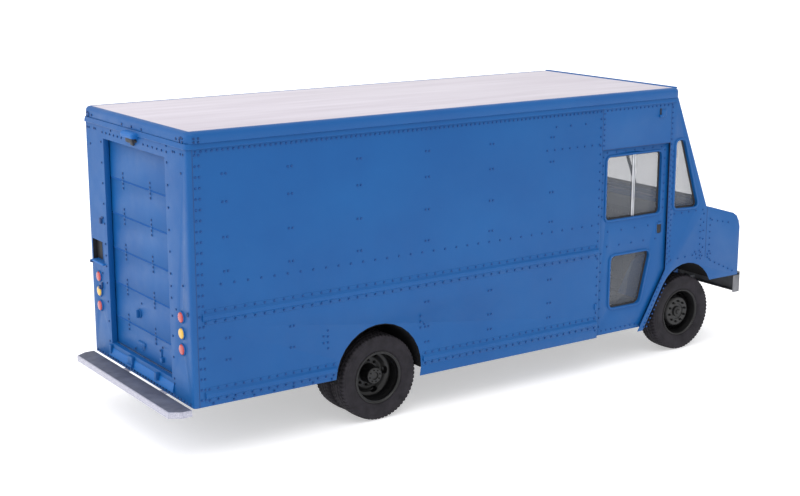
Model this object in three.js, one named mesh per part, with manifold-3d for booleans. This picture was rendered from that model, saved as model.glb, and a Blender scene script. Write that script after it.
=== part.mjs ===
// A walk-in delivery truck (step van): an aluminium cargo box and short-nosed cab on a
// ladder frame, with sliding cab doors, a sectional rear door and dual rear wheels.
// Units are millimetres. +X is forward, +Y is the driver's left, +Z is up, and the origin
// is on the ground under the middle of the overall length.

import * as THREE from "three";
import { mergeVertices } from "three/addons/utils/BufferGeometryUtils.js";
import Module from "manifold-3d";

const wasm = await Module();
wasm.setup();

// ---------------------------------------------------------------- driving dimensions
const OVERALL_LENGTH = 7470; // rear bumper's edge to front bumper's face
const BODY_WIDTH = 2300; // over the side skins
const ROOF_HEIGHT = 3110; // ground to the top of the roof
const REAR_BUMPER_REACH = 235; // bumper's edge behind the body's rear face
const FRONT_BUMPER_REACH = 45; // bumper's face ahead of the nose
const REAR_OVERHANG = 2080; // body's rear face to the rear axle
const FRONT_AXLE_SETBACK = 822; // nose face to the front axle
const NOSE_LENGTH = 560; // nose face to the cowl seam
const PILLAR_SETBACK = 1200; // nose face to the front edge of the door opening
const DOOR_OPENING = 1020; // length of the cab door opening
const SKIRT_REAR = 530; // ground to the skirt behind the rear wheels
const SKIRT_FRONT = 390; // ground to the skirt ahead of the rear wheels
const WAIST_HEIGHT = 1705; // ground to the windscreen's base and the window sills
const NOSE_BOTTOM = 810; // ground to the lower edge of the nose

const TYRE_DIAMETER = 890;
const TYRE_WIDTH = 250;
const RIM_RADIUS = 258; // the seat that the tyre's bead sits on
const REAR_TYRE_INSET = 30; // outer tyre inside the body's side
const FRONT_TYRE_INSET = 90;
const DUAL_GAP = 50; // between the two rear tyres of a side
const ARCH_CLEARANCE = 65; // arch's radius beyond the tyre's
const ARCH_RISE = 65; // arch's middle above the axle

const SKIN = 4; // body skins
const SIDE_DEPTH = 98; // side skin's outside to the posts' inner faces
const CAB_WALL = 6;
const GAP = 1; // between neighbours that are fixed together
const ROOF_RAIL_HEIGHT = 104;
const ROOF_RAIL_OVERHANG = 20;
const RAIL_PROUD = 24; // rub rails stand out of the skin

const AXLE_TUBE_RADIUS = 60;
const RAIL_HEIGHT = 150; // chassis rails
const RAIL_WIDTH = 60;
const RAIL_STEEL = 8;
const RAIL_OVER_AXLE = 20;
const DECK_THICKNESS = 30;
const DECK_MOUNT = 10; // rubber mounts between rails and deck
const SPRING_WIDTH = 70;
const SPRING_TO_TYRE = 70;
const SPRING_CAMBER = 70; // spring's eyes above its middle
const SPRING_THICKNESS = 44;

const REAR_FRAME_DEPTH = 60;
const REAR_DOOR_WIDTH = 1400; // clear opening
const REAR_HEADER = 280; // roof to the top of the rear opening
const REAR_DOOR_THICKNESS = 40;
const REAR_DOOR_PANELS = 6;
const REAR_PANEL_HEIGHT = 360;
const REAR_DOOR_LAP = 22; // door behind the frame at each side
const LAMP_RADIUS = 50;
const LAMP_HEIGHTS = [1060, 1215, 1370];
const LAMP_INSET = 200; // lamp centres inside the body's side

const HEADER_DROP = 610; // roof to the top of the cab door
const DOOR_THICKNESS = 40;
const DOOR_INSET = 30; // door's face inside the body's side
const DOOR_LAP = 12; // door behind the body's edge
const GLASS = 5;
const STRIP_LEAN = 0.59; // run per rise of the strip ahead of the door
const STRIP_WIDTH = 80;
const WINDOW_MARGIN = 85; // door's edge to its windows
const WINDOW_REVEAL = 45; // body's side to the quarter window's glass

const STEERING_ARM = 150;
const KINGPIN_RADIUS = 18;
const SPINDLE_RADIUS = 42;
const COLUMN_RADIUS = 32;
const HUB_CLEARANCE = 2; // radial, round a turning shaft

// ---------------------------------------------------------------- places that follow
const halfWidth = BODY_WIDTH / 2;
const frontX = OVERALL_LENGTH / 2;
const noseX = frontX - FRONT_BUMPER_REACH;
const cowlX = noseX - NOSE_LENGTH;
const pillarX = noseX - PILLAR_SETBACK;
const seamX = pillarX - DOOR_OPENING;
const rearFaceX = -OVERALL_LENGTH / 2 + REAR_BUMPER_REACH;
const frontAxleX = noseX - FRONT_AXLE_SETBACK;
const rearAxleX = rearFaceX + REAR_OVERHANG;
const axleZ = TYRE_DIAMETER / 2;
const railBottom = axleZ + AXLE_TUBE_RADIUS + RAIL_OVER_AXLE;
const railTop = railBottom + RAIL_HEIGHT;
const deckBottom = railTop + DECK_MOUNT;
const floorZ = deckBottom + DECK_THICKNESS;
const innerY = halfWidth - SIDE_DEPTH; // inner faces of the side posts
const roofRailZ = ROOF_HEIGHT - ROOF_RAIL_HEIGHT;
const bodyTop = roofRailZ - GAP;
const outerTyreY = halfWidth - REAR_TYRE_INSET - TYRE_WIDTH / 2;
const innerTyreY = outerTyreY - TYRE_WIDTH - DUAL_GAP;
const frontTyreY = halfWidth - FRONT_TYRE_INSET - TYRE_WIDTH / 2;
const springOuterY = innerTyreY - TYRE_WIDTH / 2 - SPRING_TO_TYRE;
const springInnerY = springOuterY - SPRING_WIDTH;
const railOuterY = springInnerY - 10;
const railInnerY = railOuterY - RAIL_WIDTH;
const archRadius = TYRE_DIAMETER / 2 + ARCH_CLEARANCE;
const rearArch = { x: rearAxleX - 20, z: axleZ + ARCH_RISE };
const doorTop = ROOF_HEIGHT - HEADER_DROP;
const doorBottom = SKIRT_FRONT + 12;
const doorOuterY = halfWidth - DOOR_INSET;
const doorInnerY = doorOuterY - DOOR_THICKNESS;
const doorTravel = DOOR_OPENING - 20;
const kingpinY = frontTyreY - TYRE_WIDTH / 2 - 50;
const rearDoorX = rearFaceX + REAR_FRAME_DEPTH + 7;
const rearOpeningTop = ROOF_HEIGHT - REAR_HEADER;
const windscreenTop = { x: pillarX + 94, z: bodyTop };
const windscreenBase = { x: cowlX - 15, z: WAIST_HEIGHT };
const roofFrontX = windscreenTop.x + 22;

// ---------------------------------------------------------------- shape helpers
// A closed three.js geometry as a manifold-3d solid with its faces outwards.
function solid(geometry) {
  const bare = geometry.index ? geometry.toNonIndexed() : geometry.clone();
  bare.deleteAttribute("normal");
  bare.deleteAttribute("uv");
  const merged = mergeVertices(bare, 1e-3);
  const triVerts = new Uint32Array(merged.index.array);
  const vertProperties = merged.attributes.position.array;
  const make = () => new wasm.Manifold(new wasm.Mesh({ numProp: 3, vertProperties, triVerts }));
  const made = make();
  if (made.volume() > 0) return made;
  for (let i = 0; i < triVerts.length; i += 3) {
    [triVerts[i + 1], triVerts[i + 2]] = [triVerts[i + 2], triVerts[i + 1]];
  }
  return make();
}

function geometryOf(body) {
  const mesh = body.getMesh();
  const stride = mesh.numProp;
  const position = new Float32Array(mesh.numVert * 3);
  for (let i = 0; i < mesh.numVert; i++) {
    position.set(mesh.vertProperties.subarray(i * stride, i * stride + 3), i * 3);
  }
  const geometry = new THREE.BufferGeometry();
  geometry.setAttribute("position", new THREE.BufferAttribute(position, 3));
  geometry.setIndex(new THREE.BufferAttribute(new Uint32Array(mesh.triVerts), 1));
  return geometry;
}

const joined = (...bodies) => bodies.flat().reduce((whole, next) => whole.add(next));
const cut = (body, ...tools) => tools.flat().reduce((left, tool) => left.subtract(tool), body);

function block(x0, x1, y0, y1, z0, z1) {
  const geometry = new THREE.BoxGeometry(x1 - x0, Math.abs(y1 - y0), z1 - z0);
  geometry.translate((x0 + x1) / 2, (y0 + y1) / 2, (z0 + z1) / 2);
  return solid(geometry);
}

// The same block on the left (side 1) or right (side -1) of the truck.
const sideBlock = (side, x0, x1, y0, y1, z0, z1) => block(x0, x1, side * y0, side * y1, z0, z1);

const AXES = { x: new THREE.Vector3(1, 0, 0), y: new THREE.Vector3(0, 1, 0), z: new THREE.Vector3(0, 0, 1) };

function extruded(shape, depth, basis) {
  const geometry = new THREE.ExtrudeGeometry(shape, { depth, bevelEnabled: false, curveSegments: 6 });
  return geometry.applyMatrix4(basis);
}

function outline(points) {
  return points instanceof THREE.Shape ? points : new THREE.Shape(points.map(([u,
    v]) => new THREE.Vector2(u, v)));
}

// An outline of [x, z] points, as thick as y0 to y1.
function plate(points, y0, y1) {
  const [low, high] = [Math.min(y0, y1), Math.max(y0, y1)];
  const basis = new THREE.Matrix4().makeBasis(AXES.x, AXES.z, AXES.y.clone().negate());
  basis.setPosition(0, high, 0);
  return solid(extruded(outline(points), high - low, basis));
}

// An outline of [y, z] points, run along x0 to x1.
function bar(points, x0, x1) {
  const basis = new THREE.Matrix4().makeBasis(AXES.y, AXES.z, AXES.x).setPosition(x0, 0, 0);
  return solid(extruded(outline(points), x1 - x0, basis));
}

// An outline of [x, y] points, run up from z0 to z1.
function prism(points, z0, z1) {
  return solid(extruded(outline(points), z1 - z0, new THREE.Matrix4().makeTranslation(0, 0, z0)));
}

// A solid cylinder from point a to point b, each [x, y, z].
function rod(a, b, radius, segments = 20) {
  const [start, end] = [new THREE.Vector3(...a), new THREE.Vector3(...b)];
  const along = end.clone().sub(start);
  const geometry = new THREE.CylinderGeometry(radius, radius, along.length(), segments);
  geometry.applyQuaternion(new THREE.Quaternion().setFromUnitVectors(AXES.y, along.normalize()));
  const middle = start.add(end).multiplyScalar(0.5);
  return solid(geometry.translate(middle.x, middle.y, middle.z));
}

// A profile of [radius, y] points turned about the axle line at x, z. Each radius is that of the
// facets, one of which lies level at the bottom.
function turned(profile, x, z, segments) {
  const half = Math.PI / segments;
  const points = profile.map(([radius, y]) => new THREE.Vector2(radius / Math.cos(half), y));
  return solid(new THREE.LatheGeometry(points, segments, half).translate(x, 0, z));
}

// An outline with its corners rounded, from [u, v] points.
function rounded(points, radius) {
  const shape = new THREE.Shape();
  points.forEach(([u, v], i) => {
    const corner = new THREE.Vector2(u, v);
    const before = new THREE.Vector2(...points[(i + points.length - 1) % points.length]);
    const after = new THREE.Vector2(...points[(i + 1) % points.length]);
    const reach = Math.min(radius, corner.distanceTo(before) / 2.1, corner.distanceTo(after) / 2.1);
    const start = before.sub(corner).setLength(reach).add(corner);
    const end = after.sub(corner).setLength(reach).add(corner);
    if (i === 0) shape.moveTo(start.x, start.y);
    else shape.lineTo(start.x, start.y);
    shape.quadraticCurveTo(u, v, end.x, end.y);
  });
  shape.closePath();
  return shape;
}

// A strip of even thickness on the right-hand side of a line of [x, z] points.
function strip(line, thickness) {
  const offset = line.map(([x, z], i) => {
    const before = line[Math.max(i - 1, 0)];
    const after = line[Math.min(i + 1, line.length - 1)];
    const along = new THREE.Vector2(after[0] - before[0], after[1] - before[1]).normalize();
    return [x + along.y * thickness, z - along.x * thickness];
  });
  return [...line, ...offset.reverse()];
}

function arc(x, z, radius, from, to, steps) {
  return Array.from({ length: steps + 1 }, (_, i) => {
    const angle = THREE.MathUtils.degToRad(from + ((to - from) * i) / steps);
    return [x + radius * Math.cos(angle), z + radius * Math.sin(angle)];
  });
}

// ---------------------------------------------------------------- finishes
const finish = (color, roughness, metalness) => new THREE.MeshStandardMaterial({ color, roughness,
  metalness });
const blueEnamel = finish(0x2a60aa, 0.45, 0.1);
const whitePanel = finish(0xe4e0ea, 0.5, 0);
const steelGrey = finish(0xa9abb4, 0.4, 0.7);
const chassisBlack = finish(0x1b1b1d, 0.6, 0.4);
const wheelBlack = finish(0x141416, 0.4, 0.3);
const tyreRubber = finish(0x2b292e, 0.85, 0);
const clearGlass = finish(0x8f9094, 0.1, 0);
const redLens = finish(0xd8484a, 0.2, 0);
const whiteLens = finish(0xe9edf0, 0.1, 0);
const darkPlastic = finish(0x34353a, 0.7, 0);
const seatVinyl = finish(0x2d2e33, 0.7, 0);
const castIron = finish(0x4a4c50, 0.7, 0.6);

const truck = new THREE.Group();
truck.name = "delivery_truck";

function add(name, body, material) {
  const mesh = new THREE.Mesh(geometryOf(body), material);
  mesh.name = name;
  truck.add(mesh);
}

const SIDES = [["left", 1], ["right", -1]];

// ---------------------------------------------------------------- chassis
const springs = [
  { name: "front", x: frontAxleX, half: 500 },
  { name: "rear", x: rearAxleX, half: 600 },
];
const springSeatZ = axleZ + AXLE_TUBE_RADIUS + GAP;
const frameRearX = rearFaceX + REAR_FRAME_DEPTH + 10;
const frameFrontX = noseX - 60;

function chassisFrame() {
  const rails = SIDES.map(([, side]) => cut(
    sideBlock(side, frameRearX, frameFrontX, railInnerY, railOuterY, railBottom, railTop),
    sideBlock(side, frameRearX - 5, frameFrontX + 5, railInnerY - 5, railOuterY - RAIL_STEEL,
      railBottom + RAIL_STEEL, railTop - RAIL_STEEL)));
  const memberAt = [
    frameRearX, rearAxleX - 700, rearAxleX + 700, (rearAxleX + frontAxleX) / 2 + 120, frontAxleX - 820,
      frameFrontX - 80,
  ];
  const members = memberAt.map((x) => block(x, x + 80, -railOuterY + 3, railOuterY - 3, railBottom + 70,
    railTop - 20));
  const hangers = springs.flatMap(({ x, half }) => [-1, 1].flatMap((end) => SIDES.map(([, side]) => {
    const at = x + end * (half - 30);
    const foot = springSeatZ + SPRING_CAMBER + 16;
    return sideBlock(side, at - 30, at + 30, railOuterY - 5, springOuterY, foot + GAP, railTop);
  })));
  return joined(rails, members, hangers);
}

// A leaf spring: thick in the middle, where it sits on the axle, and swept up to its eyes.
function leafSpring(x, half, side) {
  const sweep = (share) => springSeatZ + SPRING_CAMBER * share * share;
  const shares = [-1, -0.75, -0.5, -0.25, 0, 0.25, 0.5, 0.75, 1];
  const lower = shares.map((s) => [x + s * half, sweep(s)]);
  const upper = shares.map((s) => [x + s * half, sweep(s) + SPRING_THICKNESS - (SPRING_THICKNESS - 14) * Math.abs(s)]);
  return plate([...lower, ...upper.reverse()], side * springInnerY, side * springOuterY);
}

function rearAxle() {
  const reach = innerTyreY - TYRE_WIDTH / 2 - 10;
  const tube = rod([rearAxleX, -reach, axleZ], [rearAxleX, reach, axleZ], AXLE_TUBE_RADIUS);
  const end = outerTyreY - TYRE_WIDTH / 2;
  const spindles = rod([rearAxleX, -end, axleZ], [rearAxleX, end, axleZ], SPINDLE_RADIUS);
  const pot = new THREE.SphereGeometry(AXLE_TUBE_RADIUS * 2, 16, 10).scale(1, 0.9, 1);
  const differential = solid(pot.translate(rearAxleX, 0, axleZ));
  const pinionNose = rod([rearAxleX, 0, axleZ], [rearAxleX + 200, 0, axleZ], 55);
  const clear = block(rearAxleX - 300, rearAxleX + 300, -400, 400, railBottom - GAP, railTop);
  return cut(joined(tube, spindles, differential, pinionNose), clear);
}

// A dropped beam with an eye for the kingpin at each end.
const kingpinEyeHalf = 45;
function frontAxle() {
  const padZ = springSeatZ - GAP;
  const end = kingpinY - 30;
  const bend = railInnerY;
  const top = [[-end, axleZ + 30], [-springOuterY - 20, padZ], [-springInnerY + 20, padZ],
    [-bend + 60, padZ - 70],
    [bend - 60, padZ - 70], [springInnerY - 20, padZ], [springOuterY + 20, padZ], [end, axleZ + 30]];
  const bottom = [[end, axleZ - 30], [springOuterY, padZ - 90], [bend - 40, padZ - 140],
    [-bend + 40, padZ - 140],
    [-springOuterY, padZ - 90], [-end, axleZ - 30]];
  const beam = bar([...top, ...bottom], frontAxleX - 45, frontAxleX + 45);
  const eyes = SIDES.map(([, side]) => rod([frontAxleX, side * kingpinY, axleZ - kingpinEyeHalf],
    [frontAxleX, side * kingpinY, axleZ + kingpinEyeHalf], 40));
  const bores = SIDES.map(([, side]) => rod([frontAxleX, side * kingpinY, axleZ - 80],
    [frontAxleX, side * kingpinY, axleZ + 80], KINGPIN_RADIUS + HUB_CLEARANCE));
  return cut(joined(beam, eyes), bores);
}

// The steering knuckle: two ears round the axle's eye, the kingpin, the wheel spindle and the steering arm.
const earThickness = 26;
function knuckle(side) {
  const ear = (z0, z1) => joined(
    rod([frontAxleX, side * kingpinY, z0], [frontAxleX, side * kingpinY, z1], 40),
    sideBlock(side, frontAxleX - 40, frontAxleX + 40, kingpinY, kingpinY + 68, z0, z1));
  const top = axleZ + kingpinEyeHalf + 3;
  const low = axleZ - kingpinEyeHalf - 3;
  const web = sideBlock(side, frontAxleX - 40, frontAxleX + 40, kingpinY + 44, kingpinY + 68,
    low - earThickness, top + earThickness);
  const pin = rod([frontAxleX, side * kingpinY, low - 5], [frontAxleX, side * kingpinY, top + 5],
    KINGPIN_RADIUS);
  const spindle = rod([frontAxleX, side * (kingpinY + 60), axleZ],
    [frontAxleX, side * (frontTyreY + 20), axleZ], SPINDLE_RADIUS);
  const arm = sideBlock(side, frontAxleX - STEERING_ARM - 20, frontAxleX - 20, kingpinY - 22,
    kingpinY + 22, low - earThickness, low - 6);
  return joined(ear(top, top + earThickness), ear(low - earThickness, low), web, pin, spindle, arm);
}

// The rod lies just under both steering arms.
function tieRod() {
  const z = axleZ - kingpinEyeHalf - 3 - earThickness - 22;
  const x = frontAxleX - STEERING_ARM;
  const shaft = rod([x, -kingpinY, z], [x, kingpinY, z], 14);
  const ends = SIDES.map(([, side]) => rod([x, side * kingpinY, z - 18], [x, side * kingpinY, z + 20], 22));
  return joined(shaft, ends);
}

// Engine block, sump and gearbox, hung between the chassis rails.
const engineHalf = Math.min(railInnerY - 30, 250);
const gearboxZ = railBottom + 60;
const gearboxX = frontAxleX - 640;
function engine() {
  const blockBody = block(frontAxleX - 190, frontAxleX + 560, -engineHalf, engineHalf, railBottom + 30,
    railTop + 360);
  const head = block(frontAxleX - 150, frontAxleX + 520, -engineHalf * 0.6, engineHalf * 0.6,
    railTop + 350, railTop + 470);
  const sump = block(frontAxleX + 80, frontAxleX + 520, -engineHalf * 0.8, engineHalf * 0.8,
    railBottom - 60, railBottom + 40);
  const gearbox = rod([gearboxX, 0, gearboxZ], [frontAxleX - 180, 0, gearboxZ], deckBottom - 10 - gearboxZ);
  const output = rod([gearboxX - 60, 0, railBottom - 20], [gearboxX + 10, 0, railBottom - 20], 50);
  const fan = rod([frontAxleX + 550, 0, railTop + 120], [frontAxleX + 610, 0, railTop + 120],
    Math.min(engineHalf, 180));
  return joined(blockBody, head, sump, gearbox, output, fan);
}

const shaftEnds = { rear: [rearAxleX + 202, 0, axleZ], front: [gearboxX - 62, 0, railBottom - 20] };
function driveShaft() {
  const tube = rod(shaftEnds.rear, shaftEnds.front, 42);
  return tube;
}

function fuelTank() {
  const x0 = (rearAxleX + seamX) / 2 - 350;
  const shape = [[springOuterY + 40, SKIRT_FRONT + 30], [innerY - 120, SKIRT_FRONT + 30],
    [innerY - 120, deckBottom - 40], [springOuterY + 40, deckBottom - 40]];
  const tank = bar(rounded(shape, 60), x0, x0 + 900);
  const straps = [150, 690].map((at) => block(x0 + at, x0 + at + 60, railOuterY + GAP,
    springOuterY + 60, deckBottom - 110, deckBottom - 60));
  return joined(tank, straps);
}

function exhaust() {
  const y = -(springOuterY + 130);
  const z = railBottom + 20;
  const x = (rearAxleX + seamX) / 2;
  const silencer = rod([x - 350, y, z], [x + 350, y, z], 105);
  const down = rod([gearboxX - 120, -railOuterY - 42, z], [gearboxX - 320, y, z], 38);
  const front = rod([gearboxX - 310, y, z], [x + 300, y, z], 38);
  const tail = rod([x - 300, y, z], [x - 560, y, z], 38);
  const strap = block(x - 20, x + 20, y, -railOuterY - GAP, z + 60, z + 90);
  return joined(silencer, down, front, tail, strap);
}

add("chassis_frame", chassisFrame(), chassisBlack);
add("front_axle", frontAxle(), castIron);
add("rear_axle", rearAxle(), castIron);
springs.forEach(({ name, x, half }) => SIDES.forEach(([hand, side]) =>
  add(`${name}_spring_${hand}`, leafSpring(x, half, side), chassisBlack)));
add("engine", engine(), castIron);
add("drive_shaft", driveShaft(), chassisBlack);
add("fuel_tank", fuelTank(), chassisBlack);
add("exhaust", exhaust(), castIron);
SIDES.forEach(([hand, side]) => add(`knuckle_${hand}`, knuckle(side), castIron));
add("tie_rod", tieRod(), castIron);

// ---------------------------------------------------------------- wheels
const WHEEL_SEGMENTS = 24;
const TYRE_SEGMENTS = 36;
const BEAD_HALF = TYRE_WIDTH / 2 - 25; // half the width between the rim's lips
const LIP = 10;
const BEAD_FIT = 4; // radial, between the rim's facets and the tyre's

// A disc wheel with a blind hub: the profile runs round the barrel, its two lips, the disc and the hub.
function wheel(side, x, { hubIn, hubOut, hubRadius, discY, beadIn, beadOut }) {
  const bore = SPINDLE_RADIUS + HUB_CLEARANCE;
  const inside = RIM_RADIUS - 14;
  const profile = [
    [0, hubOut - 20], [bore, hubOut - 20], [bore, hubIn], [hubRadius, hubIn], [hubRadius, discY - 10],
    [inside, discY - 10], [inside, beadIn - LIP], [RIM_RADIUS + LIP, beadIn - LIP],
      [RIM_RADIUS + LIP, beadIn],
    [RIM_RADIUS, beadIn], [RIM_RADIUS, beadOut], [RIM_RADIUS + LIP, beadOut],
      [RIM_RADIUS + LIP, beadOut + LIP],
    [inside, beadOut + LIP], [inside, discY + 10], [hubRadius, discY + 10], [hubRadius, hubOut], [0, hubOut],
  ];
  return turned(profile.map(([radius, y]) => [radius, side * y]), x, axleZ, WHEEL_SEGMENTS);
}

function tyre(side, x, y) {
  const radius = TYRE_DIAMETER / 2;
  const bead = BEAD_HALF - GAP;
  const half = TYRE_WIDTH / 2;
  const section = [
    [RIM_RADIUS + BEAD_FIT, -bead], [RIM_RADIUS + 18, -bead], [RIM_RADIUS + 40, -half + 8],
      [(RIM_RADIUS + radius) / 2, -half],
    [radius - 45, -half + 6], [radius - 12, -half + 28], [radius, -half + 60], [radius, half - 60],
    [radius - 12, half - 28], [radius - 45, half - 6], [(RIM_RADIUS + radius) / 2, half],
      [RIM_RADIUS + 40, half - 8],
    [RIM_RADIUS + 18, bead], [RIM_RADIUS + BEAD_FIT, bead], [RIM_RADIUS + BEAD_FIT, -bead],
  ];
  return turned(section.map(([r, across]) => [r, side * (y + across)]), x, axleZ, TYRE_SEGMENTS);
}

SIDES.forEach(([hand, side]) => {
  add(`wheel_front_${hand}`, wheel(side, frontAxleX, {
    hubIn: kingpinY + 72, hubOut: frontTyreY + 75, hubRadius: 90, discY: frontTyreY + 40,
    beadIn: frontTyreY - BEAD_HALF, beadOut: frontTyreY + BEAD_HALF,
  }), wheelBlack);
  add(`tyre_front_${hand}`, tyre(side, frontAxleX, frontTyreY), tyreRubber);
  add(`wheel_rear_${hand}`, wheel(side, rearAxleX, {
    hubIn: innerTyreY - TYRE_WIDTH / 2 + 10, hubOut: outerTyreY + 60, hubRadius: 92,
      discY: (outerTyreY + innerTyreY) / 2 + 10,
    beadIn: innerTyreY - BEAD_HALF, beadOut: outerTyreY + BEAD_HALF,
  }), wheelBlack);
  add(`tyre_rear_${hand}_outer`, tyre(side, rearAxleX, outerTyreY), tyreRubber);
  add(`tyre_rear_${hand}_inner`, tyre(side, rearAxleX, innerTyreY), tyreRubber);
});

// ---------------------------------------------------------------- floor
const firewallX = cowlX - 70;
const wellInnerY = kingpinY - 210; // clears a front tyre on full lock
const wheelhouse = { x: archRadius + 30, y: innerTyreY - TYRE_WIDTH / 2 - 24, z: rearArch.z + archRadius };
const frontArch = { x: frontAxleX - 38, z: axleZ + 196, radius: TYRE_DIAMETER / 2 - 20 };
const frontWell = { x: frontAxleX - 50, z: axleZ + 45,
  radius: TYRE_DIAMETER / 2 + 140 }; // clears a tyre on full lock
const archNoseAngle = Math.asin((NOSE_BOTTOM - frontArch.z) / frontArch.radius) * THREE.MathUtils.RAD2DEG;
const stripAngle = 180 - THREE.MathUtils.radToDeg(Math.atan(STRIP_LEAN)); // where the strip leaves the arch as its tangent
const archLine = arc(frontArch.x, frontArch.z, frontArch.radius, archNoseAngle, stripAngle, 10);
const [archEndX, archEndZ] = archLine.at(-1);

// Behind the arch a sloping strip runs down to the step, between the arch and the door.
const diagonalFoot = { x: archEndX - (archEndZ - SKIRT_FRONT + 30) * STRIP_LEAN, z: SKIRT_FRONT - 30 };
const stripFoot = { x: diagonalFoot.x - STRIP_WIDTH, z: diagonalFoot.z };
const stripHeightAt = (x) => stripFoot.z + (x - stripFoot.x) / STRIP_LEAN;
const stepWell = { x0: seamX + 40, x1: stripFoot.x + 20, y: innerY - 280, z: SKIRT_FRONT + 40 };

function floor() {
  const deck = block(rearDoorX + REAR_DOOR_THICKNESS + 8, firewallX - GAP, -innerY + GAP, innerY - GAP,
    deckBottom, floorZ);
  const holes = SIDES.flatMap(([, side]) => [
    sideBlock(side, rearAxleX - wheelhouse.x, rearAxleX + wheelhouse.x, wheelhouse.y, innerY + 5,
      deckBottom - 5, floorZ + 5),
    sideBlock(side, diagonalFoot.x, firewallX + 5, wellInnerY - CAB_WALL - GAP, innerY + 5,
      deckBottom - 5, floorZ + 5),
    sideBlock(side, stepWell.x0, stepWell.x1, stepWell.y, innerY + 5, deckBottom - 5, floorZ + 5),
  ]);
  const tunnel = block(frontAxleX - 230, firewallX + 5, -engineHalf - 30, engineHalf + 30,
    deckBottom - 5, floorZ + 5);
  const houses = SIDES.map(([, side]) => cut(
    sideBlock(side, rearAxleX - wheelhouse.x - 5, rearAxleX + wheelhouse.x + 5, wheelhouse.y - 5,
      innerY - GAP, deckBottom, wheelhouse.z + 5),
    sideBlock(side, rearAxleX - wheelhouse.x, rearAxleX + wheelhouse.x, wheelhouse.y, innerY + 5,
      deckBottom - 5, wheelhouse.z)));
  const steps = SIDES.map(([, side]) => cut(
    sideBlock(side, stepWell.x0 - 5, stepWell.x1 + 5, stepWell.y - 5, innerY - GAP, stepWell.z - 5, floorZ),
    sideBlock(side, stepWell.x0, stepWell.x1, stepWell.y, innerY + 5, stepWell.z, floorZ + 5)));
  return joined(cut(deck, holes, tunnel), houses, steps);
}

// ---------------------------------------------------------------- cargo body
const pocketX0 = seamX - doorTravel - DOOR_LAP - 20;
const POST_PITCH = 600;

// One rub rail: a riveted flange with a ridge along its middle.
function rubRail(side, x0, x1, z) {
  const face = halfWidth - GAP;
  const section = [[face, z - 72], [face + 4, z - 72], [face + 4, z - 36], [halfWidth + RAIL_PROUD, z - 22],
    [halfWidth + RAIL_PROUD, z + 16], [face + 4, z + 34], [face + 4, z + 72], [face, z + 72]];
  return bar(section.map(([y, height]) => [side * y, height]), x0, x1);
}

function sidePanel(side) {
  const x0 = rearFaceX + REAR_FRAME_DEPTH + GAP;
  const x1 = seamX - GAP;
  const archTo = Math.asin((rearArch.z - SKIRT_FRONT) / archRadius) * THREE.MathUtils.RAD2DEG;
  const archFrom = Math.asin((SKIRT_REAR - rearArch.z) / archRadius) * THREE.MathUtils.RAD2DEG;
  const arch = arc(rearArch.x, rearArch.z, archRadius, 180 - archFrom, -archTo, 16);
  const skin = plate([[x0, bodyTop], [x0, SKIRT_REAR], ...arch, [x1, SKIRT_FRONT], [x1, bodyTop]],
    side * (halfWidth - SKIN), side * halfWidth);
  const posts = [];
  for (let x = x0 + 25; x < pocketX0 - 60; x += POST_PITCH) {
    const foot = Math.abs(x - rearAxleX) < wheelhouse.x + 40 ? wheelhouse.z + 8 : deckBottom;
    posts.push(sideBlock(side, x - 20, x + 20, innerY, halfWidth - SKIN + 1, foot, bodyTop));
  }
  const pocketRear = sideBlock(side, pocketX0 - 40, pocketX0, innerY, halfWidth - SKIN + 1, SKIRT_FRONT,
    bodyTop);
  const lining = sideBlock(side, pocketX0 - 5, x1, innerY, innerY + SKIN, SKIRT_FRONT, bodyTop);
  const head = sideBlock(side, pocketX0 - 5, x1, innerY, halfWidth - SKIN + 1, doorTop + 8, doorTop + 28);
  const sill = sideBlock(side, pocketX0 - 5, x1, innerY, halfWidth - SKIN + 1, SKIRT_FRONT, SKIRT_FRONT + 6);
  const rails = [
    rubRail(side, rearFaceX + 110, x1 - 20, 1390),
    rubRail(side, rearFaceX + 120, rearArch.x - archRadius, SKIRT_REAR + 112),
    rubRail(side, rearArch.x + archRadius + 20, x1 - 20, SKIRT_FRONT + 180),
  ];
  return joined(skin, posts, pocketRear, lining, head, sill, rails);
}

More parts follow.
